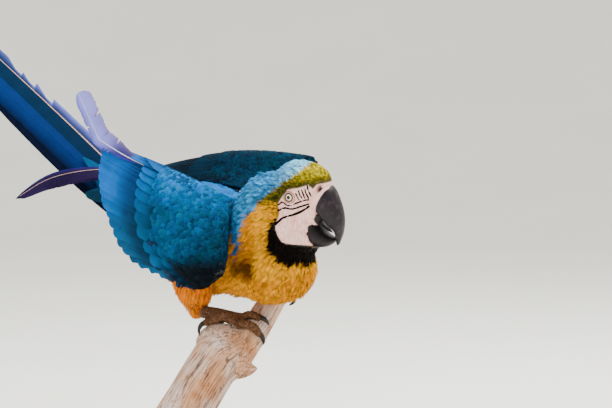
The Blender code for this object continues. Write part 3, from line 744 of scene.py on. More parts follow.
@dataclass(frozen=True)
class StandFinish:
    """Satin lacquer over fine-grained wood, or brushed steel, for the plain stand."""
    name: str
    base: str
    metallic: float
    roughness: float
    scale: float                 # pattern size in millimetres
    stretch: tuple               # how the pattern is drawn out along the brushing or the grain

    def make(self) -> Material:
        """Build the material."""
        made, add, shader = new_material(self.name)
        place = add("ShaderNodeTexCoord").outputs["Object"]
        drawn = add("ShaderNodeMapping", {"Vector": place, "Scale": self.stretch})
        fine = add("ShaderNodeTexNoise", {"Vector": drawn, "Scale": 1 / (self.scale * MM), "Detail": 4.0})
        shade = add("ShaderNodeMapRange", {0: fine, 1: 0.3, 2: 0.7, 3: 0.85, 4: 1.15})
        colour = add("ShaderNodeMix", {0: 1.0, 6: rgba(self.base), 7: shade}, **MULTIPLY).outputs[2]
        rough = add("ShaderNodeMapRange", {0: fine, 3: self.roughness - 0.06, 4: self.roughness + 0.08})
        bump = add("ShaderNodeBump", {"Strength": 0.2, "Distance": 0.0002, "Height": fine})
        feed(shader, {"Base Color": colour, "Roughness": rough, "Normal": bump, "Metallic": self.metallic})
        return made


# ------------------------------------------------------------------ laying vanes over a surface

class VaneKind(Enum):
    """Shapes of small feather; the value is its number in the vane kit."""
    ROUND = 0
    BROAD = 1
    PLUME = 2
    WISP = 3
    STREAK = 4
    PLATE = 5


@dataclass
class VaneKit:
    """A hidden collection of unit vanes: one long, one wide, rooted at the origin, lying along +X."""
    name: str = "vane_kit"
    rows: tuple = (0.0, 0.25, 0.55, 0.85, 1.0)
    strand_rows: tuple = (0.0, 0.35, 0.75, 1.0)
    strand: tuple = (0.035, 0.062, 0.05, 0.006)

    def build(self) -> Collection:
        kit = bpy.data.collections.new(self.name)
        plume = ((0.1, 0.42, 0.78), (0.3, 0.27, 0.97), (0.28, -0.26, 0.93), (0.08, -0.43, 0.74))
        wisp = ((0.02, 1.0), (0.17, 0.93), (-0.16, 0.95), (0.36, 0.8), (-0.33, 0.76))
        shapes = {
            VaneKind.ROUND: [self.blade((0.14, 0.43, 0.5, 0.38, 0.1), 0.05)],
            VaneKind.BROAD: [self.blade((0.2, 0.48, 0.5, 0.44, 0.16), 0.04)],
            VaneKind.PLUME: [self.blade((0.1, 0.27, 0.26, 0.13, 0.01), 0.08),
                             *(self.strand_at(*barb) for barb in plume)],
            VaneKind.WISP: [self.strand_at(0, lean, reach, 1.5) for lean, reach in wisp],
            VaneKind.STREAK: [self.blade((0.16, 0.42, 0.42, 0.2, 0.01), 0.1)],
            VaneKind.PLATE: [self.plate()],
        }
        for kind in VaneKind:
            self.add(kit, f"vane_{kind.value}", shapes[kind])
        return kit

    def blade(self, widths: tuple, camber: float) -> tuple[list, list]:
        """Points and faces of one thin closed vane of four edges."""
        rings = [((t, half, 0), (t, 0, camber * half * 2 + 0.02), (t, -half, 0),
                  (t, 0, camber * half * 2 - 0.02)) for t, half in zip(self.rows, widths)]
        return self.closed(rings)

    def strand_at(self, start: float, lean: float, reach: float, thick: float = 1.0) -> tuple[list, list]:
        """Points and faces of one loose barb that leaves the shaft and bends to the tip."""
        rings = []
        for t, half in zip(self.strand_rows, self.strand):
            middle, half = lean * (1 - (1 - t) ** 1.7), half * thick
            x = start + (reach - start) * t
            rings.append(((x, middle + half, 0), (x, middle, 0.045), (x, middle - half, 0)))
        return self.closed(rings)

    def closed(self, rings: list) -> tuple[list, list]:
        """Points and faces of a closed tube over rings, capped at both ends."""
        rows, around = len(rings), len(rings[0])
        caps = [tuple(range(around)), tuple(range((rows - 1) * around, rows * around))]
        return [place for ring in rings for place in ring], [caps[0], *tube_sides(rows, around), caps[1]]

    def plate(self) -> tuple[list, list]:
        """Points and faces of one low domed scale."""
        places = [(0.5, 0, 0.32)]
        for radius, high in ((0.26, 0.27), (0.5, -0.12)):
            places += [(0.5 + radius * math.cos(turn), radius * math.sin(turn), high)
                       for turn in (k * math.pi / 3 for k in range(6))]
        faces = [(0, 1 + k, 1 + (k + 1) % 6) for k in range(6)]
        faces += [(1 + k, 7 + k, 7 + (k + 1) % 6, 1 + (k + 1) % 6) for k in range(6)]
        faces.append(tuple(reversed(range(7, 13))))
        return places, faces

    def add(self, kit: Collection, name: str, parts: list) -> None:
        """Join parts into one kit object with its own map, its distance along and its height."""
        places, faces = [], []
        for points, sides in parts:
            first = len(places)
            places += points
            faces += [tuple(first + i for i in side) for side in sides]
        mesh = bpy.data.meshes.new(name)
        mesh.from_pydata(places, [], faces)
        face_outward(mesh)
        mesh.shade_smooth()
        mesh.set_sharp_from_angle(angle=math.radians(150))
        spots = np.array(places)
        write(mesh, "along", "FLOAT", spots[:, 0])
        write(mesh, "rise", "FLOAT", spots[:, 2])
        write_map(mesh, "vane", np.stack([spots[:, 1] + 0.5, spots[:, 0]], 1))
        kit.objects.link(bpy.data.objects.new(name, mesh))


@dataclass
class LayTree:
    """Geometry Nodes that set a vane on each point and press it onto the surface beneath.

    Each point says which way its vane lies, which way is out, its size, its kind, its tint, how deep
    it roots, how far its tip stands off and where it lies on the skin's unwrap.
    """
    name: str = "lay_vanes"
    inputs: tuple = (("Points", "Geometry"), ("Vanes", "Collection"), ("Surface", "Object"),
                     ("Finish", "Material"), ("Patch", "Float"), ("Tip Scatter", "Float"), ("Seed", "Int"))
    attributes: tuple = (("size", "FLOAT_VECTOR"), ("lie", "FLOAT_VECTOR"), ("out", "FLOAT_VECTOR"),
                         ("kind", "INT"), ("soft_normal", "FLOAT_VECTOR"), ("along", "FLOAT"),
                         ("rise", "FLOAT"), ("lift", "FLOAT"), ("depth", "FLOAT"),
                         ("vane", "FLOAT_VECTOR"), ("root_uv", "FLOAT_VECTOR"))

    def build(self) -> GeometryNodeTree:
        """Make the tree with its named inputs."""
        tree = bpy.data.node_groups.new(self.name, "GeometryNodeTree")
        for label, kind in self.inputs:
            tree.interface.new_socket(label, in_out="INPUT", socket_type=f"NodeSocket{kind}")
        tree.interface.new_socket("Geometry", in_out="OUTPUT", socket_type="NodeSocketGeometry")
        add = partial(add_node, tree)
        given = add("NodeGroupInput").outputs
        own = {label: add("GeometryNodeInputNamedAttribute", {"Name": label}, data_type=kind)
               for label, kind in self.attributes}

        turn = add("FunctionNodeAxesToRotation", {0: own["lie"], 1: own["out"]}, primary_axis="X",
                   secondary_axis="Z")
        vanes = add("GeometryNodeCollectionInfo", {0: given["Vanes"], 1: True, 2: True})
        points = add("GeometryNodeMeshToPoints", {0: given["Points"]})
        laid = add("GeometryNodeInstanceOnPoints", {
            "Points": points, "Instance": vanes, "Pick Instance": True, "Instance Index": own["kind"],
            "Rotation": turn, "Scale": own["size"]})
        real = add("GeometryNodeRealizeInstances", {0: laid})

        surface = add("GeometryNodeObjectInfo", {0: given["Surface"]}, transform_space="ORIGINAL")
        surface = surface.outputs["Geometry"]
        here = add("GeometryNodeInputPosition")
        near = add("GeometryNodeProximity", {"Target": surface, "Source Position": here},
                   target_element="FACES").outputs["Position"]
        way = add("GeometryNodeSampleNearestSurface", {"Mesh": surface, "Value": own["soft_normal"],
                                                       "Sample Position": here}, data_type="FLOAT_VECTOR")
        thick = add("ShaderNodeSeparateXYZ", {0: own["size"]}).outputs[2]
        rise = add("ShaderNodeMath", {0: own["rise"], 1: thick}, operation="MULTIPLY")
        ragged = add("FunctionNodeRandomValue", {2: 0.0, 3: given["Tip Scatter"], "Seed": given["Seed"]},
                     data_type="FLOAT").outputs[1]
        lift = add("ShaderNodeMath", {0: own["lift"], 1: ragged}, operation="ADD")
        squared = add("ShaderNodeMath", {0: own["along"], 1: 2.0}, operation="POWER")
        tip = add("ShaderNodeMath", {0: lift, 1: squared}, operation="MULTIPLY")
        left = add("ShaderNodeMath", {0: 1.0, 1: own["along"]}, operation="SUBTRACT")
        left = add("ShaderNodeMath", {0: left, 1: 1.5}, operation="POWER")
        root = add("ShaderNodeMath", {0: own["depth"], 1: left}, operation="MULTIPLY")
        height = add("ShaderNodeMath", {0: rise, 1: tip}, operation="ADD")
        height = add("ShaderNodeMath", {0: height, 1: root}, operation="SUBTRACT")
        raised = add("ShaderNodeVectorMath", {0: way, 3: height}, operation="SCALE")
        place = add("ShaderNodeVectorMath", {0: near, 1: raised}, operation="ADD")
        pressed = add("GeometryNodeSetPosition", {"Geometry": real, "Position": place})
        patch = add("ShaderNodeVectorMath", {0: own["vane"], 3: given["Patch"]}, operation="SCALE")
        spot = add("ShaderNodeVectorMath", {0: own["root_uv"], 1: patch}, operation="ADD")
        stored = {"Geometry": pressed, "Name": "OFBake", "Value": spot}
        mapped = add("GeometryNodeStoreNamedAttribute", stored, data_type="FLOAT2", domain="CORNER")
        dressed = add("GeometryNodeSetMaterial", {0: mapped, 2: given["Finish"]})
        add("NodeGroupOutput", {0: dressed})
        return tree


@dataclass
class Lay:
    """Vanes to be laid: one row of each array for each vane, in body millimetres."""
    places: Points
    lie: Points
    out: Points
    size: Points
    kind: Points
    tint: Points
    depth: Points
    lift: Points

    def taken(self, chosen: Points) -> "Lay":
        """Only the chosen vanes."""
        return Lay(*(getattr(self, key)[chosen] for key in self.__dataclass_fields__))


class Tools:
    kit: Collection
    tree: GeometryNodeTree
    skin_tree: BVHTree
    skin_uv: Points


def lay(name: str, vanes: Lay, surface: Object, material: Material, tip_scatter: float = 0.0,
        seed: int = 1) -> Object:
    """Lay vanes over a surface as one plain mesh.

    Args:
        name: Name of the piece.
        vanes: Where each vane roots and how it lies.
        surface: The object it is pressed onto, with a soft_normal attribute.
        material: Its finish.
        tip_scatter: How far, in millimetres, single tips stray outwards.
        seed: Seed of that scatter.

    Returns:
        The finished object at the origin.
    """
    mesh = bpy.data.meshes.new(name)
    mesh.from_pydata(metres(vanes.places).tolist(), [], [])
    write(mesh, "lie", "FLOAT_VECTOR", vanes.lie)
    write(mesh, "out", "FLOAT_VECTOR", vanes.out)
    write(mesh, "size", "FLOAT_VECTOR", vanes.size * MM)
    write(mesh, "kind", "INT", vanes.kind)
    write(mesh, "depth", "FLOAT", vanes.depth * MM)
    write(mesh, "lift", "FLOAT", vanes.lift * MM)
    write_tint(mesh, vanes.tint)
    nearest = [Tools.skin_tree.find_nearest(Vector(spot))[2] for spot in metres(vanes.places)]
    roots = np.hstack([Tools.skin_uv[nearest], np.zeros((len(nearest), 1))])
    write(mesh, "root_uv", "FLOAT_VECTOR", roots - (PATCH / 2, PATCH / 2, 0))
    piece = linked(name, mesh)
    layer = piece.modifiers.new("lay", "NODES")
    layer.node_group = Tools.tree
    values = {"Vanes": Tools.kit, "Surface": surface, "Finish": material, "Patch": PATCH,
              "Tip Scatter": tip_scatter * MM, "Seed": seed}
    for item in Tools.tree.interface.items_tree:
        if item.name in values:
            layer[item.identifier] = values[item.name]
    baked(piece)
    for extra in ("size", "lie", "out", "kind", "depth", "lift", "root_uv", "rise", "along"):
        if extra in piece.data.attributes:
            piece.data.attributes.remove(piece.data.attributes[extra])
    piece.data.shade_smooth()
    return piece


def scatter(corners: Points, gap: float, rng: Draws) -> tuple[Points, Points]:
    """Evenly spread random places on triangles, none closer than the gap.

    Args:
        corners: Triangles as (n, 3, 3) millimetres.
        gap: Least distance between places.
        rng: Source of the places.

    Returns:
        The places and the triangle that each lies on.
    """
    first, second = corners[:, 1] - corners[:, 0], corners[:, 2] - corners[:, 0]
    area = np.linalg.norm(np.cross(first, second), axis=1) / 2
    count = int(area.sum() / gap ** 2 * 5)
    faces = rng.choice(len(corners), count, p=area / area.sum())
    u, v = rng.random((2, count))
    over = u + v > 1
    u[over], v[over] = 1 - u[over], 1 - v[over]
    places = corners[faces, 0] + first[faces] * u[:, None] + second[faces] * v[:, None]
    cells: dict = {}
    kept = []
    steps = [(i, j, k) for i in (-1, 0, 1) for j in (-1, 0, 1) for k in (-1, 0, 1)]
    for number, (key, spot) in enumerate(zip(np.floor(places / gap).astype(int).tolist(), places.tolist())):
        around = (cells.get((key[0] + i, key[1] + j, key[2] + k), ()) for i, j, k in steps)
        others = (other for cell in around for other in cell)
        if all(sum((a - b) ** 2 for a, b in zip(spot, other)) >= gap ** 2 for other in others):
            cells.setdefault(tuple(key), []).append(spot)
            kept.append(number)
    return places[kept], faces[kept]


@dataclass
class Surface:
    """An outer surface of the bird that vanes are laid on."""
    name: str
    nodes: tuple
    voxel: float = 2.0
    rounds: int = 10

    def build(self) -> "Surface":
        """Melt the solids and keep the surface's triangles, normals and object."""
        return self.over(melted(self.name, self.nodes, self.voxel, self.rounds))

    def over(self, piece: Object) -> "Surface":
        """Keep the triangles, normals and zones of a piece that is already made."""
        self.piece = piece
        mesh = self.piece.data
        mesh.calc_loop_triangles()
        self.vertices = coordinates(mesh)
        self.normal = normals(mesh)
        flat = np.empty(len(mesh.loop_triangles) * 3, np.int32)
        mesh.loop_triangles.foreach_get("vertices", flat)
        self.triangles = flat.reshape(-1, 3)
        write(mesh, "soft_normal", "FLOAT_VECTOR", self.normal)
        self.zone = ZoneFinder(tuple(n for n in self.nodes if n in ZONES)).zones(self.vertices)
        self.piece.hide_render = True
        return self

    def spread(self, chosen: Points, gap: float, rng: Draws) -> tuple[Points, Points, Points]:
        """Even places on the triangles that are chosen, with their normals and zones."""
        faces = self.triangles[chosen]
        places, owner = scatter(self.vertices[faces], gap, rng)
        corner = faces[owner]
        return places, unit(self.normal[corner].mean(axis=1)), self.zone[corner[:, 0]]

    def discard(self) -> None:
        """Remove the surface once every vane is laid."""
        bpy.data.objects.remove(self.piece)


# ------------------------------------------------------------------ skin

@dataclass
class Skin:
    """The one skin under the coat: bare on the face and feet, sunk by the coat's depth elsewhere."""
    voxel: float = 1.5
    rounds: int = 5
    lid_inner: float = 4.6       # lids and rings are given by their distance from the eye's axis
    lid_crest: float = 5.4
    lid_height: float = 0.8
    lid_rosy: float = 5.9
    dark_edge: float = 5.35
    dark_ring: float = 6.8
    groove: float = 6.9
    groove_depth: float = 0.4

    def build(self) -> Object:
        """Make, sink, sculpt, unwrap and dress the skin."""
        self.piece = melted("skin", ZONES, self.voxel, self.rounds)
        self.sink()
        self.refine()
        self.sculpt()
        self.paint()
        self.unwrap()
        self.piece.data.materials.append(SkinFinish().make())
        return self.piece

    def coat_depth(self, places: Points, zones: Points) -> Points:
        """How far the skin lies under the feather tips at each place."""
        deep = np.full(len(places), 4.5)
        head = in_zone(zones, "head")
        crown = 1.2 + 2.8 * smoothstep(30, -40, head_view(places)[:, 0])
        deep[head] = crown[head]
        for name, depth in (("thigh", 2.5), ("wing", 1.2), ("foot", 0.0), ("eye", 0.0)):
            deep[in_zone(zones, *(zone for zone in ZONES if zone.startswith(name)))] = depth
        near_face = smoothstep(-5, 1.0, inside(MARKINGS.face, head_view(places)[:, [0, 2]]))
        return deep * (1 - near_face * in_zone(zones, "head", "eye_right", "eye_left"))

    def sink(self) -> None:
        """Move the skin inward by the coat's depth."""
        mesh = self.piece.data
        places = coordinates(mesh)
        deep = self.coat_depth(places, ZoneFinder(ZONES).zones(places))
        place_vertices(mesh, places - normals(mesh) * deep[:, None])
        soften = self.piece.modifiers.new("soften", "SMOOTH")
        soften.factor = 0.5
        soften.iterations = 4
        group = self.piece.vertex_groups.new(name="coat")
        for number in np.nonzero(deep > 0.4)[0]:
            group.add([int(number)], 1.0, "REPLACE")
        soften.vertex_group = "coat"
        baked(self.piece)
        self.piece.vertex_groups.clear()

    def refine(self) -> None:
        """Give the bare face and the eyes smaller faces."""
        for reach, only_eye in ((0.0, False), (11.0, True), (7.6, True)):
            work = bmesh.new()
            work.from_mesh(self.piece.data)
            places = head_view(body_mm(np.array([v.co[:] for v in work.verts])))
            if only_eye:
                from_axis = np.hypot(places[:, 0] - EYE_FORWARD, places[:, 2])
                chosen = (from_axis < reach) & (np.abs(places[:, 1]) > HEAD_FLANK)
            else:
                on_face = inside(MARKINGS.face, places[:, [0, 2]]) > -2
                chosen = on_face & (np.abs(places[:, 1]) > 2) & (places[:, 0] < 48)
            picked = set(np.nonzero(chosen)[0].tolist())
            edges = [e for e in work.edges if e.verts[0].index in picked and e.verts[1].index in picked]
            bmesh.ops.subdivide_edges(work, edges=edges, cuts=1, use_grid_fill=True, smooth=0.4)
            work.to_mesh(self.piece.data)
            work.free()

    def sculpt(self) -> None:
        """Shape lids, sockets, nostrils and the soft folds of the face."""
        mesh = self.piece.data
        mesh.update()
        places = coordinates(mesh)
        head = head_view(places)
        outward = normals(mesh) @ HEAD_AXES
        for side in Side:
            sign = side.value
            away = np.hypot(head[:, 0] - EYE_FORWARD, head[:, 2])
            near = (away < 12) & (head[:, 1] * sign > 8)
            ball = np.sqrt(np.maximum(EYE_RADIUS ** 2 - away ** 2, 0.0))
            globe = EYE_SIDE + ball
            lid = self.lid_height * hump(away, self.lid_crest, 0.6)
            lid -= self.groove_depth * hump(away, self.groove, 0.6)
            surface = head[:, 1] * sign
            wanted = np.where(away < self.lid_inner, globe - 1.2, np.maximum(globe + 0.15, surface - 4) + lid)
            hold = smoothstep(9.5, 7.0, away) * near
            rim = np.where(away < self.lid_inner + 1.8, wanted, surface + lid)
            blend_in = np.where(away < self.lid_inner + 1.8, 1.0, hold) * near
            head[:, 1] = np.where(blend_in > 0, sign * (surface + (rim - surface) * blend_in), head[:, 1])
            hole = MARKINGS.hollow(head)
            on_side = head[:, 1] * sign > 5
            push = (-1.6 * np.exp(-hole * 1.1) + 0.55 * hump(np.sqrt(hole), 1.9, 0.5)) * on_side
            head += outward * push[:, None]
        bare = inside(MARKINGS.face, head[:, [0, 2]]) > 1
        folds = grain(head[bare] * (1.0, 1.0, 0.5), 3.0, 3)
        head[bare] += outward[bare] * (folds * 0.28)[:, None]
        place_vertices(mesh, on_head(head))

    def paint(self) -> None:
        """Store the markings on the skin."""
        mesh = self.piece.data
        places = coordinates(mesh)
        zones = ZoneFinder(ZONES).zones(places)
        tint = MARKINGS.colour(places, zones, np.random.default_rng(3))
        head = head_view(places)
        # painted shade: the nostril's hole is painted near-black over a shallow dent
        hole = np.exp(-MARKINGS.hollow(head) ** 2 * 0.8) * (np.abs(head[:, 1]) > 5)
        tint = tint * (1 - 0.93 * hole)[:, None]
        # painted shade: the skin inside the open mouth is painted black
        gape = smoothstep(-0.8, 0.8, inside(MARKINGS.gape, head[:, [0, 2]]))
        tint = blend_hue(tint, Hue.THROAT, gape * (head[:, 0] > 20))
        away = np.hypot(head[:, 0] - EYE_FORWARD, head[:, 2])
        on_side = np.abs(head[:, 1]) > HEAD_FLANK
        ring = smoothstep(self.dark_edge, 5.0, away) + 0.8 * hump(away, self.dark_ring, 0.4)
        tint = tint * (1 - 0.97 * np.clip(ring * on_side, 0, 1))[:, None]
        lid = hump(away, self.lid_rosy, 0.7) * on_side
        tint = tint * (1 - lid[:, None] * np.array((0.10, 0.28, 0.26)))
        # painted shade: the skin under the coat is darkened so the gaps between vanes read as shaded
        covered = MARKINGS.bare(places) < 0.5
        tint[covered & ~in_zone(zones, "foot_right", "foot_left")] *= 0.45
        write_tint(mesh, tint)

    def unwrap(self) -> None:
        """Unwrap the skin's own shape and remember where each face lies."""
        mesh = self.piece.data
        bpy.ops.object.select_all(action="DESELECT")
        bpy.context.view_layer.objects.active = self.piece
        self.piece.select_set(True)
        mesh.uv_layers.new(name="OFBake")
        bpy.ops.object.mode_set(mode="EDIT")
        bpy.ops.mesh.select_all(action="SELECT")
        bpy.ops.uv.smart_project(angle_limit=math.radians(75), island_margin=0.002)
        bpy.ops.object.mode_set(mode="OBJECT")
        corner_uv = np.empty(len(mesh.loops) * 2, np.float32)
        mesh.uv_layers["OFBake"].data.foreach_get("uv", corner_uv)
        starts = np.empty(len(mesh.polygons), np.int32)
        mesh.polygons.foreach_get("loop_start", starts)
        Tools.skin_uv = corner_uv.reshape(-1, 2)[starts]
        Tools.skin_tree = mesh_tree(mesh)


# ------------------------------------------------------------------ the coat of small feathers

@dataclass
class Tract:
    """One area of small feathers: its spacing and the vanes' length, width, depth and looseness."""
    name: str
    gap: float
    length: float
    width: float
    depth: float
    lift: float
    stray: float                 # radians that single vanes turn from the lie
    kinds: tuple
    contrast: float = 0.13       # how much single vanes differ in tone


@dataclass
class Coat:
    """The small feathers of head, neck, trunk and thighs."""
    most: int = 1600             # vanes in one piece
    seed: int = 11
    head_reach: tuple = (-34, -82)       # the head's feathers begin this far back and below its middle
    neck_reach: tuple = (-75, -75)
    neck_root: float = 55.0      # how far forward on the body the neck begins
    nape_front: float = -12.0
    vent_reach: tuple = (-55, 10)        # the vent lies behind and below these on the body

    def spine_points(self) -> Points:
        """A curve from the bill through head, neck and trunk to the tail."""
        head = on_head([(52, 0, -14), (6, 0, -12), (-30, 0, -14)])
        trunk = np.array([(70, -4, 22), (20, 0, 2), (-50, 0, 12), (-98, 0, 30), (-220, 0, 96)])
        return smooth_curve(np.vstack([head, trunk]), 80)

    def lie(self, places: Points, out: Points, zones: Points) -> Points:
        """The way that vanes lie at each place, along the surface."""
        spine = self.spine_points()
        ahead = unit(np.gradient(spine, axis=0))
        gaps = np.linalg.norm(places[:, None] - spine[None], axis=2)
        weight = np.exp(-(gaps - gaps.min(axis=1, keepdims=True)) / 9.0)
        way = unit((weight[:, :, None] * ahead[None]).sum(axis=1))
        bill = on_head([(46, 0, -12)])[0]
        radial = unit(places - bill)
        near = np.exp(-np.linalg.norm(places - bill, axis=1) / 42.0)[:, None]
        way = unit(way * (1 - near) + radial * near * 1.6)
        down = np.array((0.0, 0.0, -1.0))
        below = smoothstep(40, 90, places[:, 0]) * smoothstep(20, -30, places[:, 2])
        way = unit(way + down * (below * 0.35)[:, None])
        for name, leg in (("thigh_right", (0.12, -0.1, -1)), ("thigh_left", (0.3, 0.25, -1))):
            way[in_zone(zones, name)] = unit(np.array(leg, float))
        return along_surface(way, out)

    def tract_of(self, zone: int, head: Points, places: Points) -> Points:
        """The number in TRACTS of each place."""
        number = np.full(len(places), TRACTS.index("breast"))
        blue = inside(MARKINGS.blue_body, places[:, [0, 2]]) > 0
        number[blue] = TRACTS.index("back")
        on_vent = (places[:, 0] < self.vent_reach[0]) & (places[:, 2] < self.vent_reach[1])
        number[on_vent & ~blue] = TRACTS.index("vent")
        on_neck = (head[:, 0] > self.neck_reach[0]) & (head[:, 2] > self.neck_reach[1])
        on_neck &= places[:, 0] > self.neck_root
        number[on_neck & blue] = TRACTS.index("nape")
        on_head_part = (head[:, 0] > self.head_reach[0]) & (head[:, 2] > self.head_reach[1])
        side_view = head[:, [0, 2]]
        in_blue = inside(MARKINGS.blue_head, side_view) > 0
        number[on_head_part] = TRACTS.index("cheek")
        number[on_head_part & in_blue] = TRACTS.index("crown")
        number[on_head_part & in_blue & (head[:, 0] < self.nape_front)] = TRACTS.index("nape")
        number[on_head_part & (inside(MARKINGS.green, side_view) > -2)] = TRACTS.index("forehead")
        number[on_head_part & (inside(MARKINGS.throat, side_view) > -1)] = TRACTS.index("throat")
        number[in_zone(zone, "thigh_right", "thigh_left")] = TRACTS.index("thigh")
        return number

    def build(self, body: Surface, keep_out: list, material: Material) -> list:
        """Lay every tract over the body.

        Args:
            body: The feathered outline of head, neck, trunk and thighs.
            keep_out: BVH trees of solids under which no vane is wanted.
            material: The vanes' finish.

        Returns:
            The pieces.
        """
        rng = np.random.default_rng(self.seed)
        centres = body.vertices[body.triangles].mean(axis=1)
        zone = body.zone[body.triangles[:, 0]]
        head = head_view(centres)
        bare = (inside(MARKINGS.face, head[:, [0, 2]]) > 0.6) & (head[:, 0] > -12)
        number = self.tract_of(zone, head, centres)
        pieces = []
        for tract in TRACTS.all:
            chosen = (number == TRACTS.index(tract.name)) & ~bare
            if not chosen.any():
                continue
            places, out, zones = body.spread(chosen, tract.gap, rng)
            hidden = np.zeros(len(places), bool)
            for tree in keep_out:
                hidden |= np.array([self.buried(tree, spot) for spot in metres(places)])
            vanes = self.vanes(tract, places[~hidden], out[~hidden], zones[~hidden], rng)
            count = len(vanes.places)
            for part, start in enumerate(range(0, count, self.most)):
                name = f"coat_{tract.name}_{part + 1}" if count > self.most else f"coat_{tract.name}"
                share = vanes.taken(slice(start, start + self.most))
                pieces.append(lay(name, share, body.piece, material, tract.lift * 0.35, 5 + part))
        return pieces

    def vanes(self, tract: Tract, places: Points, out: Points, zones: Points, rng: Draws) -> Lay:
        """Size, turn and tint one tract's vanes."""
        count = len(places)
        way = swung(self.lie(places, out, zones), out, rng.normal(0, tract.stray, count))
        grow = rng.normal(1, 0.12, count).clip(0.7, 1.4)
        head = head_view(places)
        near_face = 1 - 0.55 * smoothstep(-9, -1, inside(MARKINGS.face, head[:, [0, 2]])) * (head[:, 0] > -20)
        near_hock = np.where((places[:, 2] < -60) & in_zone(zones, "thigh_right", "thigh_left"), 0.5, 1.0)
        length = tract.length * grow * near_face * near_hock
        width = tract.width * rng.normal(1, 0.1, count).clip(0.7, 1.3) * (0.4 + 0.6 * near_face) * near_hock
        size = np.stack([length, width, np.full(count, 4.0) * width / 6], axis=1)
        kind = rng.choice([k.value for k in tract.kinds], count)
        middle = places + way * (length * 0.55)[:, None]
        tint = MARKINGS.colour(middle, zones, rng, 0.9)
        bare = MARKINGS.bare(middle) > 0.5
        if bare.any():
            tint[bare] = MARKINGS.colour(places[bare] - out[bare] * 0.1, zones[bare], rng, 0.0)
        shade = rng.normal(1, tract.contrast, count).clip(0.4, 1.6) * (1 + 0.14 * grain(places, 16.0))
        warm = rng.normal(0, 0.04, (count, 3))
        tint = np.clip(tint * shade[:, None] * (1 + warm), 0, 0.95)
        depth = np.full(count, tract.depth) * np.clip(near_face, 0.3, 1)
        lift = np.abs(rng.normal(0, 1, count)) * tract.lift * near_face - 0.2
        still_bare = MARKINGS.bare(places) > 0.55
        return Lay(places, way, out, size, kind, tint, depth, lift).taken(~still_bare)

    @staticmethod
    def buried(tree: BVHTree, spot: Points) -> bool:
        """Whether a place lies inside a closed solid."""
        way, start, crossed = Vector((0.13, 0.21, 0.97)).normalized(), Vector(spot), 0
        hit = tree.ray_cast(start, way)[0]
        while hit is not None:
            crossed += 1
            hit = tree.ray_cast(hit + way * 1e-6, way)[0]
        return crossed % 2 == 1


class Tracts:
    """The bird's feather tracts by name."""
    all = (
        Tract("forehead", 1.5, 6.0, 3.0, 1.0, 0.35, 0.14, (VaneKind.WISP, VaneKind.STREAK), 0.32),
        Tract("crown", 1.8, 9.5, 4.0, 1.6, 0.7, 0.18, (VaneKind.WISP, VaneKind.PLUME), 0.26),
        Tract("nape", 2.3, 14.0, 5.4, 2.4, 1.2, 0.2, (VaneKind.WISP, VaneKind.PLUME), 0.34),
        Tract("cheek", 2.0, 12.0, 5.0, 2.0, 0.8, 0.2, (VaneKind.WISP, VaneKind.WISP, VaneKind.PLUME)),
        Tract("throat", 1.9, 8.5, 4.2, 1.6, 0.7, 0.25, (VaneKind.WISP, VaneKind.PLUME)),
        Tract("breast", 2.9, 17.0, 8.0, 3.2, 1.3, 0.28, (VaneKind.PLUME, VaneKind.WISP), 0.2),
        Tract("back", 4.2, 20.0, 10.0, 3.2, 0.5, 0.12, (VaneKind.ROUND, VaneKind.BROAD)),
        Tract("vent", 3.6, 23.0, 9.0, 3.4, 1.0, 0.2, (VaneKind.PLUME, VaneKind.ROUND)),
        Tract("thigh", 2.5, 12.0, 5.5, 2.0, 0.8, 0.2, (VaneKind.PLUME, VaneKind.WISP)),
    )

    def index(self, name: str) -> int:
        """The number of the tract of that name."""
        return [t.name for t in self.all].index(name)


TRACTS = Tracts()


# ------------------------------------------------------------------ quills: flight and tail feathers

@dataclass
class Quill:
    """One large feather with a shaft and two vanes.

    route is its centre line in body millimetres, facing the outward way along it, halves the widths
    of the vane on the +side and on the -side, hues the colours of the middle, +edge, -edge and tip.
    """
    route: Points
    facing: Points
    halves: tuple[float, float]
    hues: tuple[Hue, Hue, Hue, Hue]
    tilt: float = 0.0
    tip: float = 0.14            # part of the length that rounds off
    point: float = 0.5           # 0.5 rounds the tip, 1 and over sharpens it
    camber: float = 0.10
    sweep: float = 0.55          # how far each barb slants to the tip, by its length
    splits: int = 2
    shaft: float = 1.0           # millimetres thick at the root
    rachis: Hue = Hue.RACHIS
    thick: float = 0.7           # millimetres of the vane sheet
    edging: float = 1.0          # how fully the edges take their own hues
    base: float = 0.22           # part of the length that widens from the shaft
    shade: float = 1.0
    along: Points | None = None  # colours along the route, instead of the middle hue
    cover: tuple = (-1.0, 0.0)   # the part of the length over which the shade of the row above ends
    under: int = 0               # the side that its neighbour lies over, 0 for none
    fray: float = 0.05           # how ragged the barb tips are, by the vane's width
    notches: tuple = ()          # places along the +side where the barbs part
    rake: float = 1.0            # times the sweep on the +side


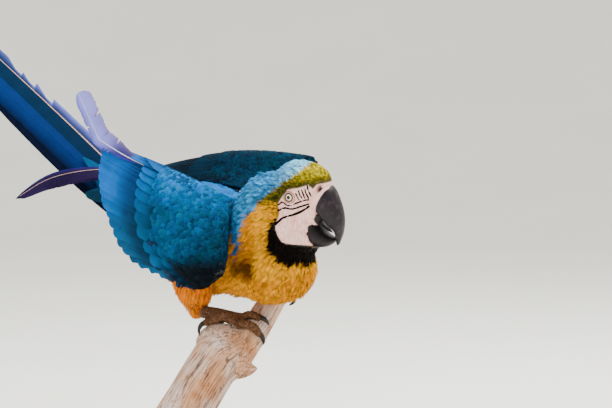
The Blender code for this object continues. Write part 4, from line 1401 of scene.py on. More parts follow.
@dataclass
class QuillMesh:
    """Joins many quills into one mesh with their own maps and tints."""
    name: str
    rows: int = 30
    columns: tuple = (-1.0, -0.72, -0.36, -0.04, 0.04, 0.36, 0.72, 1.0)
    seed: int = 7

    def build(self, quills: list, material: Material) -> Object:
        """Make the piece."""
        rng = np.random.default_rng(self.seed)
        places, faces, own, bake, tint = [], [], [], [], []
        total = len(quills)
        for number, quill in enumerate(quills):
            for points, sides, uv, colours, half in self.parts(quill, rng):
                first = sum(len(p) for p in places)
                places.append(points)
                faces += [tuple(first + i for i in side) for side in sides]
                own.append(uv)
                across = number + 0.04 + 0.44 * uv[:, 0] + 0.48 * half
                bake.append(np.stack([across / total, 0.01 + 0.98 * uv[:, 1]], 1))
                tint.append(colours)
        piece = mesh_object(self.name, np.vstack(places), faces)
        mesh = piece.data
        write_map(mesh, "vane", np.vstack(own))
        write_map(mesh, "OFBake", np.vstack(bake))
        write_tint(mesh, np.vstack(tint))
        mesh.materials.append(material)
        mesh.set_sharp_from_angle(angle=math.radians(80))
        return piece

    def parts(self, quill: Quill, rng: Draws) -> list:
        """The vane sheet and the shaft of one quill."""
        t = np.linspace(0, 1, self.rows)
        route = np.asarray(quill.route, float)
        run = travelled(route)
        length = run[-1]
        facing = np.asarray(quill.facing, float)
        facing = np.tile(facing, (len(route), 1)) if facing.ndim == 1 else facing

        def at(where: Points) -> tuple[Points, Points, Points]:
            """Middle, sideways and outward at parts of the length."""
            spot = np.clip(where, 0, 1) * length
            step = 0.01 * length
            ahead = unit(sampled(spot + step, run, route) - sampled(spot - step, run, route))
            out = unit(sampled(spot, run, facing))
            side = unit(np.cross(ahead, out))
            out = np.cross(side, ahead)
            lean = math.radians(quill.tilt)
            across = side * math.cos(lean) + out * math.sin(lean)
            return sampled(spot, run, route), across, out * math.cos(lean) - side * math.sin(lean)

        outline, split = self.outline(quill, t, rng)
        grid, uv, colours = [], [], []
        centre_hue, plus_hue, minus_hue, tip_hue = (np.array(linear(h.value)) for h in quill.hues)
        middle = np.tile(centre_hue, (self.rows, 1))
        if quill.along is not None:
            middle = sampled(t, np.linspace(0, 1, len(quill.along)), quill.along)
        for column in self.columns:
            half = quill.halves[0] if column > 0 else quill.halves[1]
            sign = 1 if column > 0 else -1
            reach = half * outline * (1 + (split[sign] - 1) * abs(column) ** (0.5 if quill.notches else 2))
            sweep = quill.sweep * (quill.rake if sign > 0 else 1)
            centre, side, out = at(t + sweep * reach * abs(column) / length * (1 - t) ** 0.35)
            droop = quill.camber * (column * reach) ** 2 / max(half, 1)
            grid.append(centre + side * (column * reach)[:, None] - out * droop[:, None])
            uv.append(np.stack([np.full(self.rows, 0.5 + 0.5 * column), t], 1))
            edge_hue = plus_hue if column > 0 else minus_hue
            tone = middle + (edge_hue - middle) * (abs(column) ** 1.5 * quill.edging)
            if quill.along is None:
                tone = tone + (tip_hue - tone) * (smoothstep(0.45, 1.0, t) * 0.8)[:, None]
            # painted shade where the row above and the neighbouring quill lie over the vane; partly the
            # feather's real darker base and inner vane
            covered = 1 - 0.6 * (1 - smoothstep(*quill.cover, t))
            covered = covered * (1 - 0.65 * abs(column) ** 1.5 * (sign == quill.under))
            colours.append(tone * (covered * (1 + 0.12 * abs(column) ** 2))[:, None] * quill.shade)
        _, _, up = at(t)
        upper = np.array(grid)
        lower = upper - up[None] * quill.thick
        inner = slice(1, len(self.columns) - 1)
        ring = np.concatenate([upper, lower[inner][::-1]])
        uv, colours = np.array(uv), np.array(colours)
        ring_uv = np.concatenate([uv, uv[inner][::-1]])
        ring_tint = np.concatenate([colours, colours[inner][::-1] * 0.8])
        sheet_part = self.tube(ring, ring_uv, ring_tint, 0.0)

        centre, side, out = at(t * 0.985)
        thick = quill.shaft * (1 - 0.82 * t)
        turns = np.linspace(0, TURN, 5, endpoint=False)
        shaft = np.array([centre + side * (math.cos(a) * thick)[:, None]
                          + out * (math.sin(a) * thick * 0.8)[:, None] for a in turns])
        shaft_uv = np.tile(np.stack([np.full(self.rows, 0.5), t], 1), (5, 1, 1))
        shaft_tint = np.tile(linear(quill.rachis.value), (5, self.rows, 1))
        return [sheet_part, self.tube(shaft, shaft_uv, shaft_tint, 1.0)]

    def outline(self, quill: Quill, t: Points, rng: Draws) -> tuple[Points, dict]:
        """The vanes' width along the quill, 1 at its fullest, and how far each side's barbs part."""
        widen = smoothstep(0, quill.base, t) * 0.85 + 0.15
        close = np.clip((t - 1 + quill.tip) / quill.tip, 0, 1)
        width = widen * np.maximum(1 - close ** 2, 0.0) ** quill.point
        width[-1] = 0.02
        split = {}
        for sign in (1, -1):
            split[sign] = 1 - quill.fray * rng.random(self.rows) * smoothstep(0.1, 0.4, t)
            for _ in range(rng.poisson(quill.splits)):
                row = rng.integers(self.rows // 3, self.rows * 4 // 5)
                split[sign][row] *= 1 - rng.uniform(0.25, 0.6)
        for notch in quill.notches:
            split[1] *= np.where(t < notch, 1, np.clip(0.05 + (t - notch) / 0.085, 0, 1))
        return width, split

    def tube(self, ring: Points, uv: Points, tint: Points, half: float) -> tuple:
        """A closed skin over rings given as (around, along, xyz)."""
        around, rows = ring.shape[:2]
        caps = [tuple(range(around)), tuple(reversed(range((rows - 1) * around, rows * around)))]
        flat = (block.transpose(1, 0, 2).reshape(rows * around, -1) for block in (ring, uv, tint))
        points, spots, colours = flat
        return points, tube_sides(rows, around) + caps, spots, colours, half


@dataclass(frozen=True)
class Row:
    """One row of quills side by side along a wing."""
    name: str
    count: int
    spans: tuple                 # first and last place along the wing
    reaches: tuple               # begin and end from front to tips, or those of the first and the last
    sunk: float                  # millimetres under the wing's sheet
    width: float                 # over the spacing
    tip: float
    splits: float
    shaft: float
    base: float = 0.3
    camber: float = 0.1


ROWS = (
    Row("secondaries", 28, (0.02, 0.99), (0.36, 1.0), 2.2, 2.0, 0.14, 0.2, 0.45, 0.22, 0.12),
    Row("greater_coverts", 12, (0.02, 0.90), (0.24, 0.625), 0.9, 1.5, 0.24, 0.4, 0.22),
    Row("median_coverts", 15, (0.02, 0.93), (0.16, (0.47, 0.51)), 0.1, 1.55, 0.36, 0.3, 0.15),
    Row("scapulars", 6, (0.0, 0.14), (0.42, (0.84, 0.74)), -0.4, 2.3, 0.4, 0.3, 0.2),
    Row("scapulars", 6, (0.0, 0.14), (0.24, (0.66, 0.56)), -1.0, 2.3, 0.4, 0.3, 0.2),
)


@dataclass
class WingSheet:
    """The curved sheet of one wing between its front edge and its feather tips."""
    side: Side
    front: tuple
    tips: tuple
    bulge: float
    lean: float = 2.1            # over 1, quills near the wrist lie along the wing's lower edge
    crowd: float = 0.75          # under 1, quills near the wrist lie closer together
    tilt: float = 7.0            # degrees that each quill leans over its neighbour
    grid: int = 61

    def __post_init__(self) -> None:
        """Lay out the sheet as a grid of places and outward directions."""
        starts, edge = smooth_curve(self.front, self.grid), smooth_curve(self.tips, self.grid)
        even = np.linspace(0, 1, self.grid)
        ends = sampled(even ** self.lean, even, edge)
        ways = np.linspace(0, 1, self.grid)
        sheet = starts[:, None] * (1 - ways)[None, :, None] + ends[:, None] * ways[None, :, None]
        out = self.outward(sheet)
        lift = np.sin(math.pi * ways)[None] * np.sin(math.pi * np.linspace(0.08, 0.92, self.grid))[:, None]
        self.sheet = sheet + out * (self.bulge * lift)[:, :, None]
        self.out = self.outward(self.sheet)

    def outward(self, sheet: Points) -> Points:
        """Outward directions of a grid of places."""
        return unit(np.cross(np.gradient(sheet, axis=1), np.gradient(sheet, axis=0))) * -self.side.value

    def at(self, span: Points, reach: Points, sunk: float = 0.0) -> tuple[Points, Points]:
        """Places and outward directions; span runs from the back to the wrist, reach from front to tips."""
        i = np.clip(np.asarray(span, float), 0, 1) * (self.grid - 1)
        j = np.clip(np.asarray(reach, float), 0, 1) * (self.grid - 1)
        i0, j0 = np.minimum(i.astype(int), self.grid - 2), np.minimum(j.astype(int), self.grid - 2)
        a, b = (i - i0)[..., None], (j - j0)[..., None]

        def pick(table: Points) -> Points:
            """The grid's values between its places."""
            return ((table[i0, j0] * (1 - a) + table[i0 + 1, j0] * a) * (1 - b)
                    + (table[i0, j0 + 1] * (1 - a) + table[i0 + 1, j0 + 1] * a) * b)

        out = unit(pick(self.out))
        return pick(self.sheet) - out * sunk, out

    def face(self, reach: float, lift: float) -> Object:
        """The sheet's outer face from the front edge to a reach, raised to a lift in millimetres."""
        last = int(round(reach * (self.grid - 1))) + 1
        arm = solid_tree(f"wing_{self.side.label}_arm")
        away = 20.0
        height = np.zeros((self.grid, last))
        for i, j in np.ndindex(height.shape):
            start, way = self.sheet[i, j] + self.out[i, j] * away, -self.out[i, j]
            hit = arm.ray_cast(Vector(metres(start)), Vector(way), 2 * away * MM)[3]
            height[i, j] = 0.0 if hit is None else max(away - hit / MM, 0.0)
        rise = lift * smoothstep(0.02, 0.2, np.linspace(0, 1, self.grid))[:last] + height
        places = (self.sheet[:, :last] + self.out[:, :last] * rise[:, :, None]).reshape(-1, 3)
        faces = []
        for i in range(self.grid - 1):
            for j in range(last - 1):
                k = i * last + j
                faces.append((k, k + 1, k + last + 1, k + last)[::-self.side.value])
        return mesh_object("wing_face", places, faces)

    def row(self, row: Row, edges: tuple, rng: Draws) -> list:
        """A row of quills side by side along the wing.

        Args:
            row: Its sizes.
            edges: Colours of the +edge and the -edge.
            rng: Source of small differences.

        Returns:
            The quills, from the back to the wrist.
        """
        made = []
        begins, ends = (np.linspace(*r, row.count) if isinstance(r, tuple) else np.full(row.count, r)
                        for r in row.reaches)
        spans = row.spans[0] + (row.spans[1] - row.spans[0]) * np.linspace(0, 1, row.count) ** self.crowd
        for span, gap, begin, end in zip(spans, np.gradient(spans), begins, ends):
            end += rng.normal(0, 0.008)
            steps = np.linspace(begin, end, 12)
            route, out = self.at(span + rng.normal(0, 0.006) * (steps - begin), steps, row.sunk)
            tip = self.at(np.array([span - gap / 2, span + gap / 2]), np.array([end * 0.92] * 2))[0]
            half = np.linalg.norm(tip[1] - tip[0]) * row.width / 2 * rng.uniform(0.93, 1.08)
            made.append(Quill(route=route, facing=out, halves=(half, half),
                              hues=(Hue.WING, *edges, Hue.WING), along=MARKINGS.wing(route, self.side),
                              edging=0.2, shade=float(rng.normal(1, 0.12)), cover=(0.42, 0.8),
                              under=-self.side.value, tilt=self.tilt * self.side.value, tip=row.tip,
                              splits=row.splits, shaft=row.shaft, base=row.base, camber=row.camber))
        return made


@dataclass
class Wing:
    """One wing: small coverts laid over the arm, quills in rows behind it, and the folded primaries."""
    sheet: WingSheet
    seed: int = 23
    covert_seed: int = 51
    covert_gaps: tuple = (3.3, 3.1)      # between small coverts, above and beneath
    covert_length: float = 8.0   # of the foremost small coverts
    covert_growth: float = 13.0  # how much longer they are at the feather tips
    face_reach: float = 0.64     # how far back the small coverts' own surface goes
    primaries_count: int = 5

    def small_coverts(self, upper: bool, material: Material) -> Object:
        """Scale-like small coverts over the arm.

        Args:
            upper: Whether they lie in rows on its upper face, or over the front edge and the under side.
            material: Their finish.

        Returns:
            The finished piece.
        """
        side, sheet = self.sheet.side, self.sheet
        label = side.label + ("_upper" if upper else "_under")
        rng = np.random.default_rng(self.covert_seed + side.value)
        arm = Surface(f"arm_form_{label}", (f"wing_{side.label}_arm",), 1.6, 5)
        arm = arm.over(sheet.face(self.face_reach, 0.9)) if upper else arm.build()
        gap = self.covert_gaps[0] if upper else self.covert_gaps[1]
        places, out, _ = arm.spread(np.ones(len(arm.triangles), bool), gap, rng)
        count = len(places)
        grid = sheet.sheet.reshape(-1, 3)
        near = np.array([((grid - p) ** 2).sum(axis=1).argmin() for p in places])
        span, reach = near // sheet.grid / (sheet.grid - 1), near % sheet.grid / (sheet.grid - 1)
        outer = (out * sheet.out.reshape(-1, 3)[near]).sum(axis=1) > -0.25
        way = sheet.at(span, np.minimum(reach + 0.1, 1))[0] - sheet.at(span, np.maximum(reach - 0.05, 0))[0]
        way = swung(along_surface(way, out), out, rng.normal(0, 0.09, count))
        long = self.covert_length + self.covert_growth * reach + rng.normal(0, 0.6, count)
        size = np.stack([long, long * 0.62 * rng.uniform(0.9, 1.1, count), np.full(count, 3.5)], 1)
        tone = rng.normal(1, 0.24, count).clip(0.4, 1.6)[:, None] * (1 + rng.normal(0, 0.09, (count, 3)))
        tint = np.clip(MARKINGS.wing(places + way * 5, side) * tone, 0, 0.95)
        tint *= (1 + 0.22 * grain(places, 14.0))[:, None]
        kind = rng.choice([VaneKind.ROUND.value, VaneKind.BROAD.value], count)
        lift = np.abs(rng.normal(0, 0.2, count))
        vanes = Lay(places, way, out, size, kind, tint, np.full(count, 1.1), lift)
        if upper:
            keep = (reach < 0.45) | (((places - grid[near]) * out).sum(axis=1) > 1.6)
        else:
            keep = (outer & (reach < 0.2)) | (~outer & (rng.random(count) < 0.75))
        piece = lay(f"lesser_coverts_{label}", vanes.taken(keep), arm.piece, material, 0.15, 13)
        arm.discard()
        return piece

    def quills(self, rng: Draws) -> dict:
        """The rows of quills by name."""
        right = self.sheet.side is Side.RIGHT
        rows: dict = {}
        for row in ROWS:
            edges = (Hue.WING_UPPER, Hue.WING_UPPER) if right else (Hue.FAR_EDGE, Hue.FAR_EDGE)
            if right and row.name == "secondaries":
                edges = (Hue.VIOLET, Hue.WING_UPPER)
            rows.setdefault(row.name, []).extend(self.sheet.row(row, edges, rng))
        return rows

    def primaries(self, rng: Draws) -> list:
        """The long outer quills, folded under the secondaries; the left ones twist towards the tip."""
        left = self.sheet.side is Side.LEFT
        path, out = [(66, -70, -30), (-40, -64, 20), (-122, -58, 50), (-176, -58, 52)], (0.25, -0.8, 0.55)
        # the near wing's primaries, folded under the secondaries, are painted in shade
        hues, halves, sunk = (Hue.WING_WRIST, Hue.WING_FORE, Hue.WING_WRIST, Hue.WING_FORE), (8, 13), 4.0
        if left:
            path = [(36, 70, 68), (-60, 24, 64), (-165, -20, 76), (-240, -50, 66), (-270, -86, 40)]
            out = (-0.1, -0.45, 0.85)
            # the far primaries take their violet darkened by painted shade
            hues, halves, sunk = (Hue.PRIMARY, Hue.PRIMARY_EDGE, Hue.PRIMARY, Hue.PRIMARY), (7.5, 15.5), 0.0
        steps = 40
        turn = smoothstep(0.45, 0.8, np.linspace(0, 1, steps))[:, None] * left
        facing = unit(np.array(out) * (1 - turn) + np.array((0.1, -0.9, 0.42)) * turn)
        curve = smooth_curve(path, steps)
        up = unit(np.array(out))
        aside = np.cross(unit(curve[-1] - curve[0]), up)
        made = []
        for number in range(self.primaries_count):
            last = steps - number * 4
            shift = up * (1.2 - 0.7 * number - sunk) + aside * -0.9 * number
            made.append(Quill(curve[number:last] + shift, facing[number:last], halves, hues, tip=0.16,
                              point=0.6, camber=0.12, splits=0.3, shaft=1.2, base=0.3,
                              rachis=Hue.SHAFT if left and number == 0 else Hue.RACHIS,
                              shade=float(rng.normal(1, 0.06))))
        return made

    def build(self, small: Material, large: Material) -> None:
        """Make every piece of the wing and hand it over.

        Args:
            small: Finish of the small coverts.
            large: Finish of the quills.
        """
        label = self.sheet.side.label
        for upper in (True, False):
            finish_piece(self.small_coverts(upper, small))
        rng = np.random.default_rng(self.seed + self.sheet.side.value)
        for name, quills in self.quills(rng).items():
            piece = QuillMesh(f"{name}_{label}").build(quills, large)
            replaced = (f"wing_{label}_secondaries",) if name == "secondaries" else ()
            finish_piece(piece, replaced)
        piece = QuillMesh(f"primaries_{label}", rows=40).build(self.primaries(rng), large)
        finish_piece(piece, (f"wing_{label}_primaries",))


def bent_feather() -> Quill:
    """The disturbed tertial that stands up from the near wing, kinked across its shaft."""
    low = smooth_curve([(-64, -53, 82), (-110, -53, 96), (-158, -50, 113)], 16)
    high = smooth_curve([(-158, -50, 113), (-178, -48, 138), (-202, -45, 168)], 14)[1:]
    ways = np.vstack([np.tile((0.2, -0.8, 0.5), (16, 1)), np.tile((0.3, -0.85, 0.25), (13, 1))])
    part = smoothstep(0.30, 0.60, np.linspace(0, 1, len(ways)))
    return Quill(np.vstack([low, high]), ways, (15.5, 8.5), (Hue.LILAC, Hue.MAUVE, Hue.VIOLET, Hue.LILAC),
                 tip=0.12, point=0.5, camber=0.1, splits=5, shaft=0.8, base=0.5, rachis=Hue.PALE_SHAFT,
                 edging=0.75, fray=0.1, along=blend_hue(filled(Hue.BENT, len(ways)), Hue.LILAC, part))


@dataclass
class Tail:
    """Twelve graduated tail feathers, the middle pair longest and uppermost."""
    root: tuple = (-98, 0, 7)
    pitch: float = 30.5
    roll: float = 40.0
    length: float = 474.0
    pairs: int = 6
    shorter: float = 0.045       # each pair, by the middle pair's length
    coverts: int = 9
    seed: int = 61

    def quills(self) -> list:
        """All twelve quills with the coverts over their roots; the left middle one lies uppermost."""
        rng = np.random.default_rng(self.seed)
        axes = turned(0, self.pitch, 0) @ turned(0, 0, self.roll)
        back, left, out = -axes[:, 0], axes[:, 1], axes[:, 2]
        made = []
        for pair in range(self.pairs):
            for side in Side:
                on_left = side is Side.LEFT
                length = self.length * (1 - self.shorter * pair) - (3 if on_left else 0)
                apart = 13.0 - 2.0 * pair if on_left else -13.0 - 3.3 * pair
                drop = 1.2 * pair + (0.0 if on_left else 0.6) - 2.0
                start = np.array(self.root) + back * 26
                route = [start + left * (apart * 0.75) - out * drop,
                         start + back * length * 0.4 + left * apart - out * (drop + 0.5),
                         start + back * (length - 26) + left * (apart * 0.9) - out * (drop - 0.5)]
                look = {"hues": (Hue.TAIL_DARK,) * 4, "halves": (17, 7.5), "rachis": Hue.TAIL_DARK}
                if pair == 0:
                    look.update(halves=(25, 16), rachis=Hue.TAIL_BLUE,
                                hues=(Hue.TAIL_BLUE, Hue.TAIL, Hue.TAIL_DARK, Hue.TAIL_BLUE))
                if on_left:
                    look.update(halves=(7.5, 17), hues=(Hue.TAIL, Hue.TAIL_EDGE, Hue.TAIL_DARK, Hue.TAIL))
                if on_left and pair == 0:
                    look.update(halves=(11, 29), hues=(Hue.TAIL, Hue.TAIL_EDGE, Hue.TAIL, Hue.TAIL),
                                rachis=Hue.SHAFT, notches=(0.53, 0.62, 0.69), rake=3.2)
                made.append(Quill(smooth_curve(route, 30), out, tilt=-2.0 if on_left else 2.0, tip=0.24,
                                  point=0.6, camber=0.13, splits=0, fray=0.02,
                                  shaft=1.2 if pair == 0 and on_left else 0.5, base=0.12,
                                  shade=float(rng.normal(1, 0.05)), **look))
        for number in range(self.coverts):
            sign = (-1) ** number
            spread = (number // 2 + 1) * 3.6 * sign
            high = 9.0 - number * 0.3
            begin = np.array(self.root) + back * (-30 + 3 * number) + out * high + left * spread
            reach = 128 - 9 * number if sign > 0 else 206 - 14 * number
            far = begin + back * reach - out * 5.0 + left * spread * 0.6
            made.append(Quill(smooth_curve([begin, (begin + far) / 2 + out * 2.5, far], 16), out, (10, 10),
                              (Hue.COVERT, Hue.WING, Hue.WING, Hue.WING), tip=0.42, point=0.8, camber=0.12,
                              splits=0.5, shaft=0.5, base=0.3, shade=float(rng.normal(1, 0.08))))
        return made


# ------------------------------------------------------------------ head furniture

@dataclass
class Bill:
    """The hooked black bill, a little open, with the tongue in it."""
    rows: int = 110
    around: int = 80
    upper: tuple = ((36, 8, 24, -12, 14.5), (45, 10.5, 31, -17.5, 16.5), (52, 4.5, 37, -27, 15.8),
                    (57, -8, 43.5, -35, 13.5), (60, -20, 48, -39.5, 11), (60.7, -32, 50, -43.5, 8.4),
                    (59, -43, 50, -48, 6), (56, -51, 49.8, -53, 3.8), (53, -57, 50.6, -58.3, 1.6))
    lower: tuple = ((13, -33, 13, -50, 12), (19, -30, 18.5, -53, 15.6), (25, -28, 23, -57, 16.4),
                    (31.5, -35.5, 30, -59.5, 15.2), (37.5, -43.5, 37, -59.5, 12.8),
                    (43.5, -47.5, 43, -58, 9.6), (48, -49.2, 47.5, -55, 6), (49.6, -50.2, 49.4, -52, 2.5))
    tongue_route: tuple = ((21, 0, -21), (29, 0, -28.5), (37, 0, -36.5), (45, 0, -42.6))

    def half(self, name: str, sections: tuple, flat: float, ridge: float) -> Object:
        """One half of the bill through its sections (ridge forward, up, edge forward, up, half width)."""
        table = smooth_curve(sections, self.rows)
        turns = np.linspace(0, TURN, self.around, endpoint=False)
        rings = []
        for top_f, top_u, low_f, low_u, half in table:
            height = (1 + np.cos(turns)) / 2
            power = np.where(height > 0.5, 0.8 + ridge, flat)
            spread = np.sign(np.sin(turns)) * np.abs(np.sin(turns)) ** power
            rings.append(np.stack([low_f + (top_f - low_f) * height, spread * half,
                                   low_u + (top_u - low_u) * height], 1))
        return self.closed(name, np.array(rings))

    def closed(self, name: str, rings: Points) -> Object:
        """A closed solid over rings on the head, with its length map."""
        rows, around = rings.shape[:2]
        places = np.vstack([rings.reshape(-1, 3), rings[0].mean(axis=0)[None], rings[-1].mean(axis=0)[None]])
        first, last = rows * around, (rows - 1) * around
        faces = tube_sides(rows, around) + [(k, first, (k + 1) % around) for k in range(around)]
        faces += [(last + k, last + (k + 1) % around, first + 1) for k in range(around)]
        piece = mesh_object(name, on_head(places), faces)
        face_outward(piece.data)
        own = np.zeros((len(places), 2))
        own[:first, 0] = np.tile(np.arange(around) / around, rows)
        own[:first, 1] = np.repeat(np.linspace(0, 1, rows), around)
        own[first + 1:, 1] = 1
        write_map(piece.data, "vane", own)
        return piece

    def cover_root(self, piece: Object) -> None:
        """Raise the bare cere over the root of the upper bill and sink the nostrils in it."""
        mesh = piece.data
        head = head_view(coordinates(mesh))
        cere = smoothstep(-0.35, 0.35, inside(MARKINGS.cere, head[:, [0, 2]]))
        # painted shade: the nostril's hole is painted near-black over a shallow dent
        hole = np.exp(-MARKINGS.hollow(head) ** 2 * 0.8) * (np.abs(head[:, 1]) > 1.5)
        tint = filled(Hue.BARE, len(head)) * (1 - 0.95 * hole)[:, None]
        head += (normals(mesh) @ HEAD_AXES) * (cere * 0.55 - hole * 1.2)[:, None]
        place_vertices(mesh, on_head(head))
        write(mesh, "cere", "FLOAT", cere)
        write_tint(mesh, tint)

    def build(self) -> None:
        """Make, dress and hand over both halves and the tongue."""
        horn = HornFinish().make()
        upper = self.half("bill_upper_horn", self.upper, 0.45, 0.12)
        self.cover_root(upper)
        lower = self.half("bill_lower_horn", self.lower, 0.6, 0.0)
        route = smooth_curve(self.tongue_route, 16)
        thick = np.interp(np.linspace(0, 1, 16), (0, 0.6, 0.85, 0.95, 1), (4.8, 4.6, 4.0, 2.9, 1.2))
        turns = np.linspace(0, TURN, 18, endpoint=False)
        ring = np.stack([np.cos(turns) * -0.6, np.sin(turns), np.cos(turns) * 0.72], 1)
        rings = [place + ring * radius for place, radius in zip(route, thick)]
        tongue = self.closed("tongue_skin", np.array(rings))
        upper.data.materials.append(horn)
        lower.data.materials.append(HornFinish("lower_bill_horn", "#0b0508", "#281a22").make())
        tongue.data.materials.append(HornFinish("tongue_skin", "#15151f", "#4c4a5e", 0.36, 1.5).make())
        finish_piece(upper, ("bill_upper",))
        finish_piece(lower, ("bill_lower",))
        finish_piece(tongue, ("tongue",))


@dataclass
class Eyes:
    """Glass eyes set behind the lids."""
    radius: float = 7.9
    cornea: float = 4.0
    rings: int = 24
    around: int = 48

    def build(self) -> None:
        """Make, dress and hand over both eyes."""
        glass = EyeFinish().make()
        for side in Side:
            turns = np.linspace(0, TURN, self.around, endpoint=False)
            places, own = [], []
            for angle in np.linspace(0.02, math.pi - 0.02, self.rings * 2):
                away = self.radius * math.sin(angle)
                far = self.radius * math.cos(angle)
                if far > 0 and away < self.cornea:
                    far += 0.55 * (1 - (away / self.cornea) ** 2)
                level = np.full(self.around, side.value * (EYE_SIDE + far))
                places.append(np.stack([EYE_FORWARD + np.cos(turns) * away, level, np.sin(turns) * away], 1))
                spot = away / 8.0 if far > 0 else 1.0
                own.append(np.stack([turns / TURN, np.full(self.around, spot)], 1))
            last = (len(places) - 1) * self.around
            faces = tube_sides(len(places), self.around)
            faces += [tuple(range(self.around)), tuple(range(last, last + self.around))]
            piece = mesh_object(f"eye_glass_{side.label}", on_head(np.vstack(places)), faces)
            face_outward(piece.data)
            write_map(piece.data, "vane", np.vstack(own))
            piece.data.materials.append(glass)
            finish_piece(piece, (f"eye_{side.label}",))


@dataclass
class FaceLines:
    """The rows of tiny black feathers across the bare face, in side view of the head."""
    lines: tuple = (
        (((29.9, -8.8), (22.5, -14.1), (11.8, -19.0), (-0.1, -22.4), (-8.8, -28.5)), 1.7),
        (((28.4, -7.6), (17.3, -11.2), (8.8, -13.2), (1.7, -12.0), (-4.6, -13.8)), 1.25),
        (((31, -2.7), (23.4, -3.7), (15.5, -6.3), (5.7, -9.5), (-0.6, -6.1), (-4.8, -7.5)), 1.1),
        (((14.3, 6.7), (15.6, 2.8), (17.3, -1.5)), 1.15),
        (((18.6, 9.2), (19.4, 5.0), (20.8, 0.6)), 1.15),
        (((22.3, 9.6), (23.2, 5.0), (24.4, 0.5)), 1.15),
        (((25.5, 11.6), (26.4, 6.0), (28.0, 0.3)), 1.2),
        (((28.2, 13.2), (29.4, 7.5), (31.2, 1.2)), 1.2),
    )
    step: float = 0.75
    length: float = 3.0
    broaden: float = 2.0
    seed: int = 31

    def build(self, body: Surface, material: Material) -> Object:
        """Lay the rows on both sides of the face."""
        rng = np.random.default_rng(self.seed)
        tree = BVHTree.FromObject(body.piece, bpy.context.evaluated_depsgraph_get())
        places, ways, outs, widths = [], [], [], []
        for side in Side:
            for line, width in self.lines:
                route = smooth_curve(line, 60)
                run = travelled(route)
                for far in np.arange(0, run[-1], self.step):
                    spot = sampled(far, run, route) + rng.normal(0, 0.12, 2)
                    start = metres(on_head([(spot[0], side.value * 60, spot[1])]))[0]
                    aim = HEAD_AXES[:, 1] * -side.value
                    hit, normal, _, _ = tree.ray_cast(Vector(start), Vector(aim))
                    if hit is None:
                        continue
                    ahead = sampled(far + 0.5, run, route) - sampled(far - 0.5, run, route)
                    places.append(body_mm(np.array(hit)))
                    ways.append(HEAD_AXES @ np.array((ahead[0], 0, ahead[1])))
                    outs.append(np.array(normal))
                    widths.append(width * self.broaden)
        count = len(places)
        out = unit(np.array(outs))
        way = along_surface(np.array(ways), out)
        width = np.array(widths) * rng.uniform(0.85, 1.15, count)
        vanes = Lay(np.array(places), way, out, np.stack([np.full(count, self.length), width, width], 1),
                    np.full(count, VaneKind.STREAK.value), filled(Hue.THROAT, count),
                    np.full(count, 0.15), np.full(count, 0.35))
        return lay("face_lines", vanes, body.piece, material, 0.1, 3)


# ------------------------------------------------------------------ feet, branch and stand

@dataclass
class Feet:
    """Scales over the toes and shanks, and the horn claws."""
    gap: float = 1.9
    length: float = 3.4
    width: float = 3.0
    hocks: tuple = ((8.0, -46.0, -74.0), (22.0, 46.0, -32.0))
    seed: int = 41

    def build(self, material: Material) -> Object:
        """Lay the scales, each pointing away from its foot's hock."""
        rng = np.random.default_rng(self.seed)
        feet = Surface("feet_form", ("foot_right", "foot_left"), 1.2, 4).build()
        places, out, zones = feet.spread(np.ones(len(feet.triangles), bool), self.gap, rng)
        count = len(places)
        heads = np.where(in_zone(zones, "foot_right")[:, None], *self.hocks)
        way = along_surface(unit(places - heads), out)
        long = self.length * rng.uniform(0.8, 1.2, count)
        wide = self.width * rng.uniform(0.85, 1.2, count)
        size = np.stack([long, wide, np.full(count, 2.2)], 1)
        tone = rng.uniform(0.6, 1.7, (count, 1)) * (1 + rng.normal(0, 0.05, (count, 3)))
        tint = filled(Hue.SCALE, count) * tone
        vanes = Lay(places - way * size[:, :1] * 0.5, way, out, size, np.full(count, VaneKind.PLATE.value),
                    tint, np.full(count, 0.25), np.full(count, -0.1))
        piece = lay("foot_scales", vanes, feet.piece, material, 0.0, 9)
        feet.discard()
        return piece

    def claws(self) -> None:
        """Round the claws off and dress them."""
        nodes = tuple(f"claw_{side.label}_{n}" for side in Side for n in range(1, 5))
        piece = flesh("claw_horn", nodes)
        rounder = piece.modifiers.new("rounder", "SUBSURF")
        rounder.levels = rounder.render_levels = 2
        baked(piece)
        piece.data.shade_smooth()
        piece.data.materials.clear()
        piece.data.materials.append(HornFinish("claw_horn", "#1d1917", "#4a423c", 0.35, 1.6).make())
        finish_piece(piece, nodes)


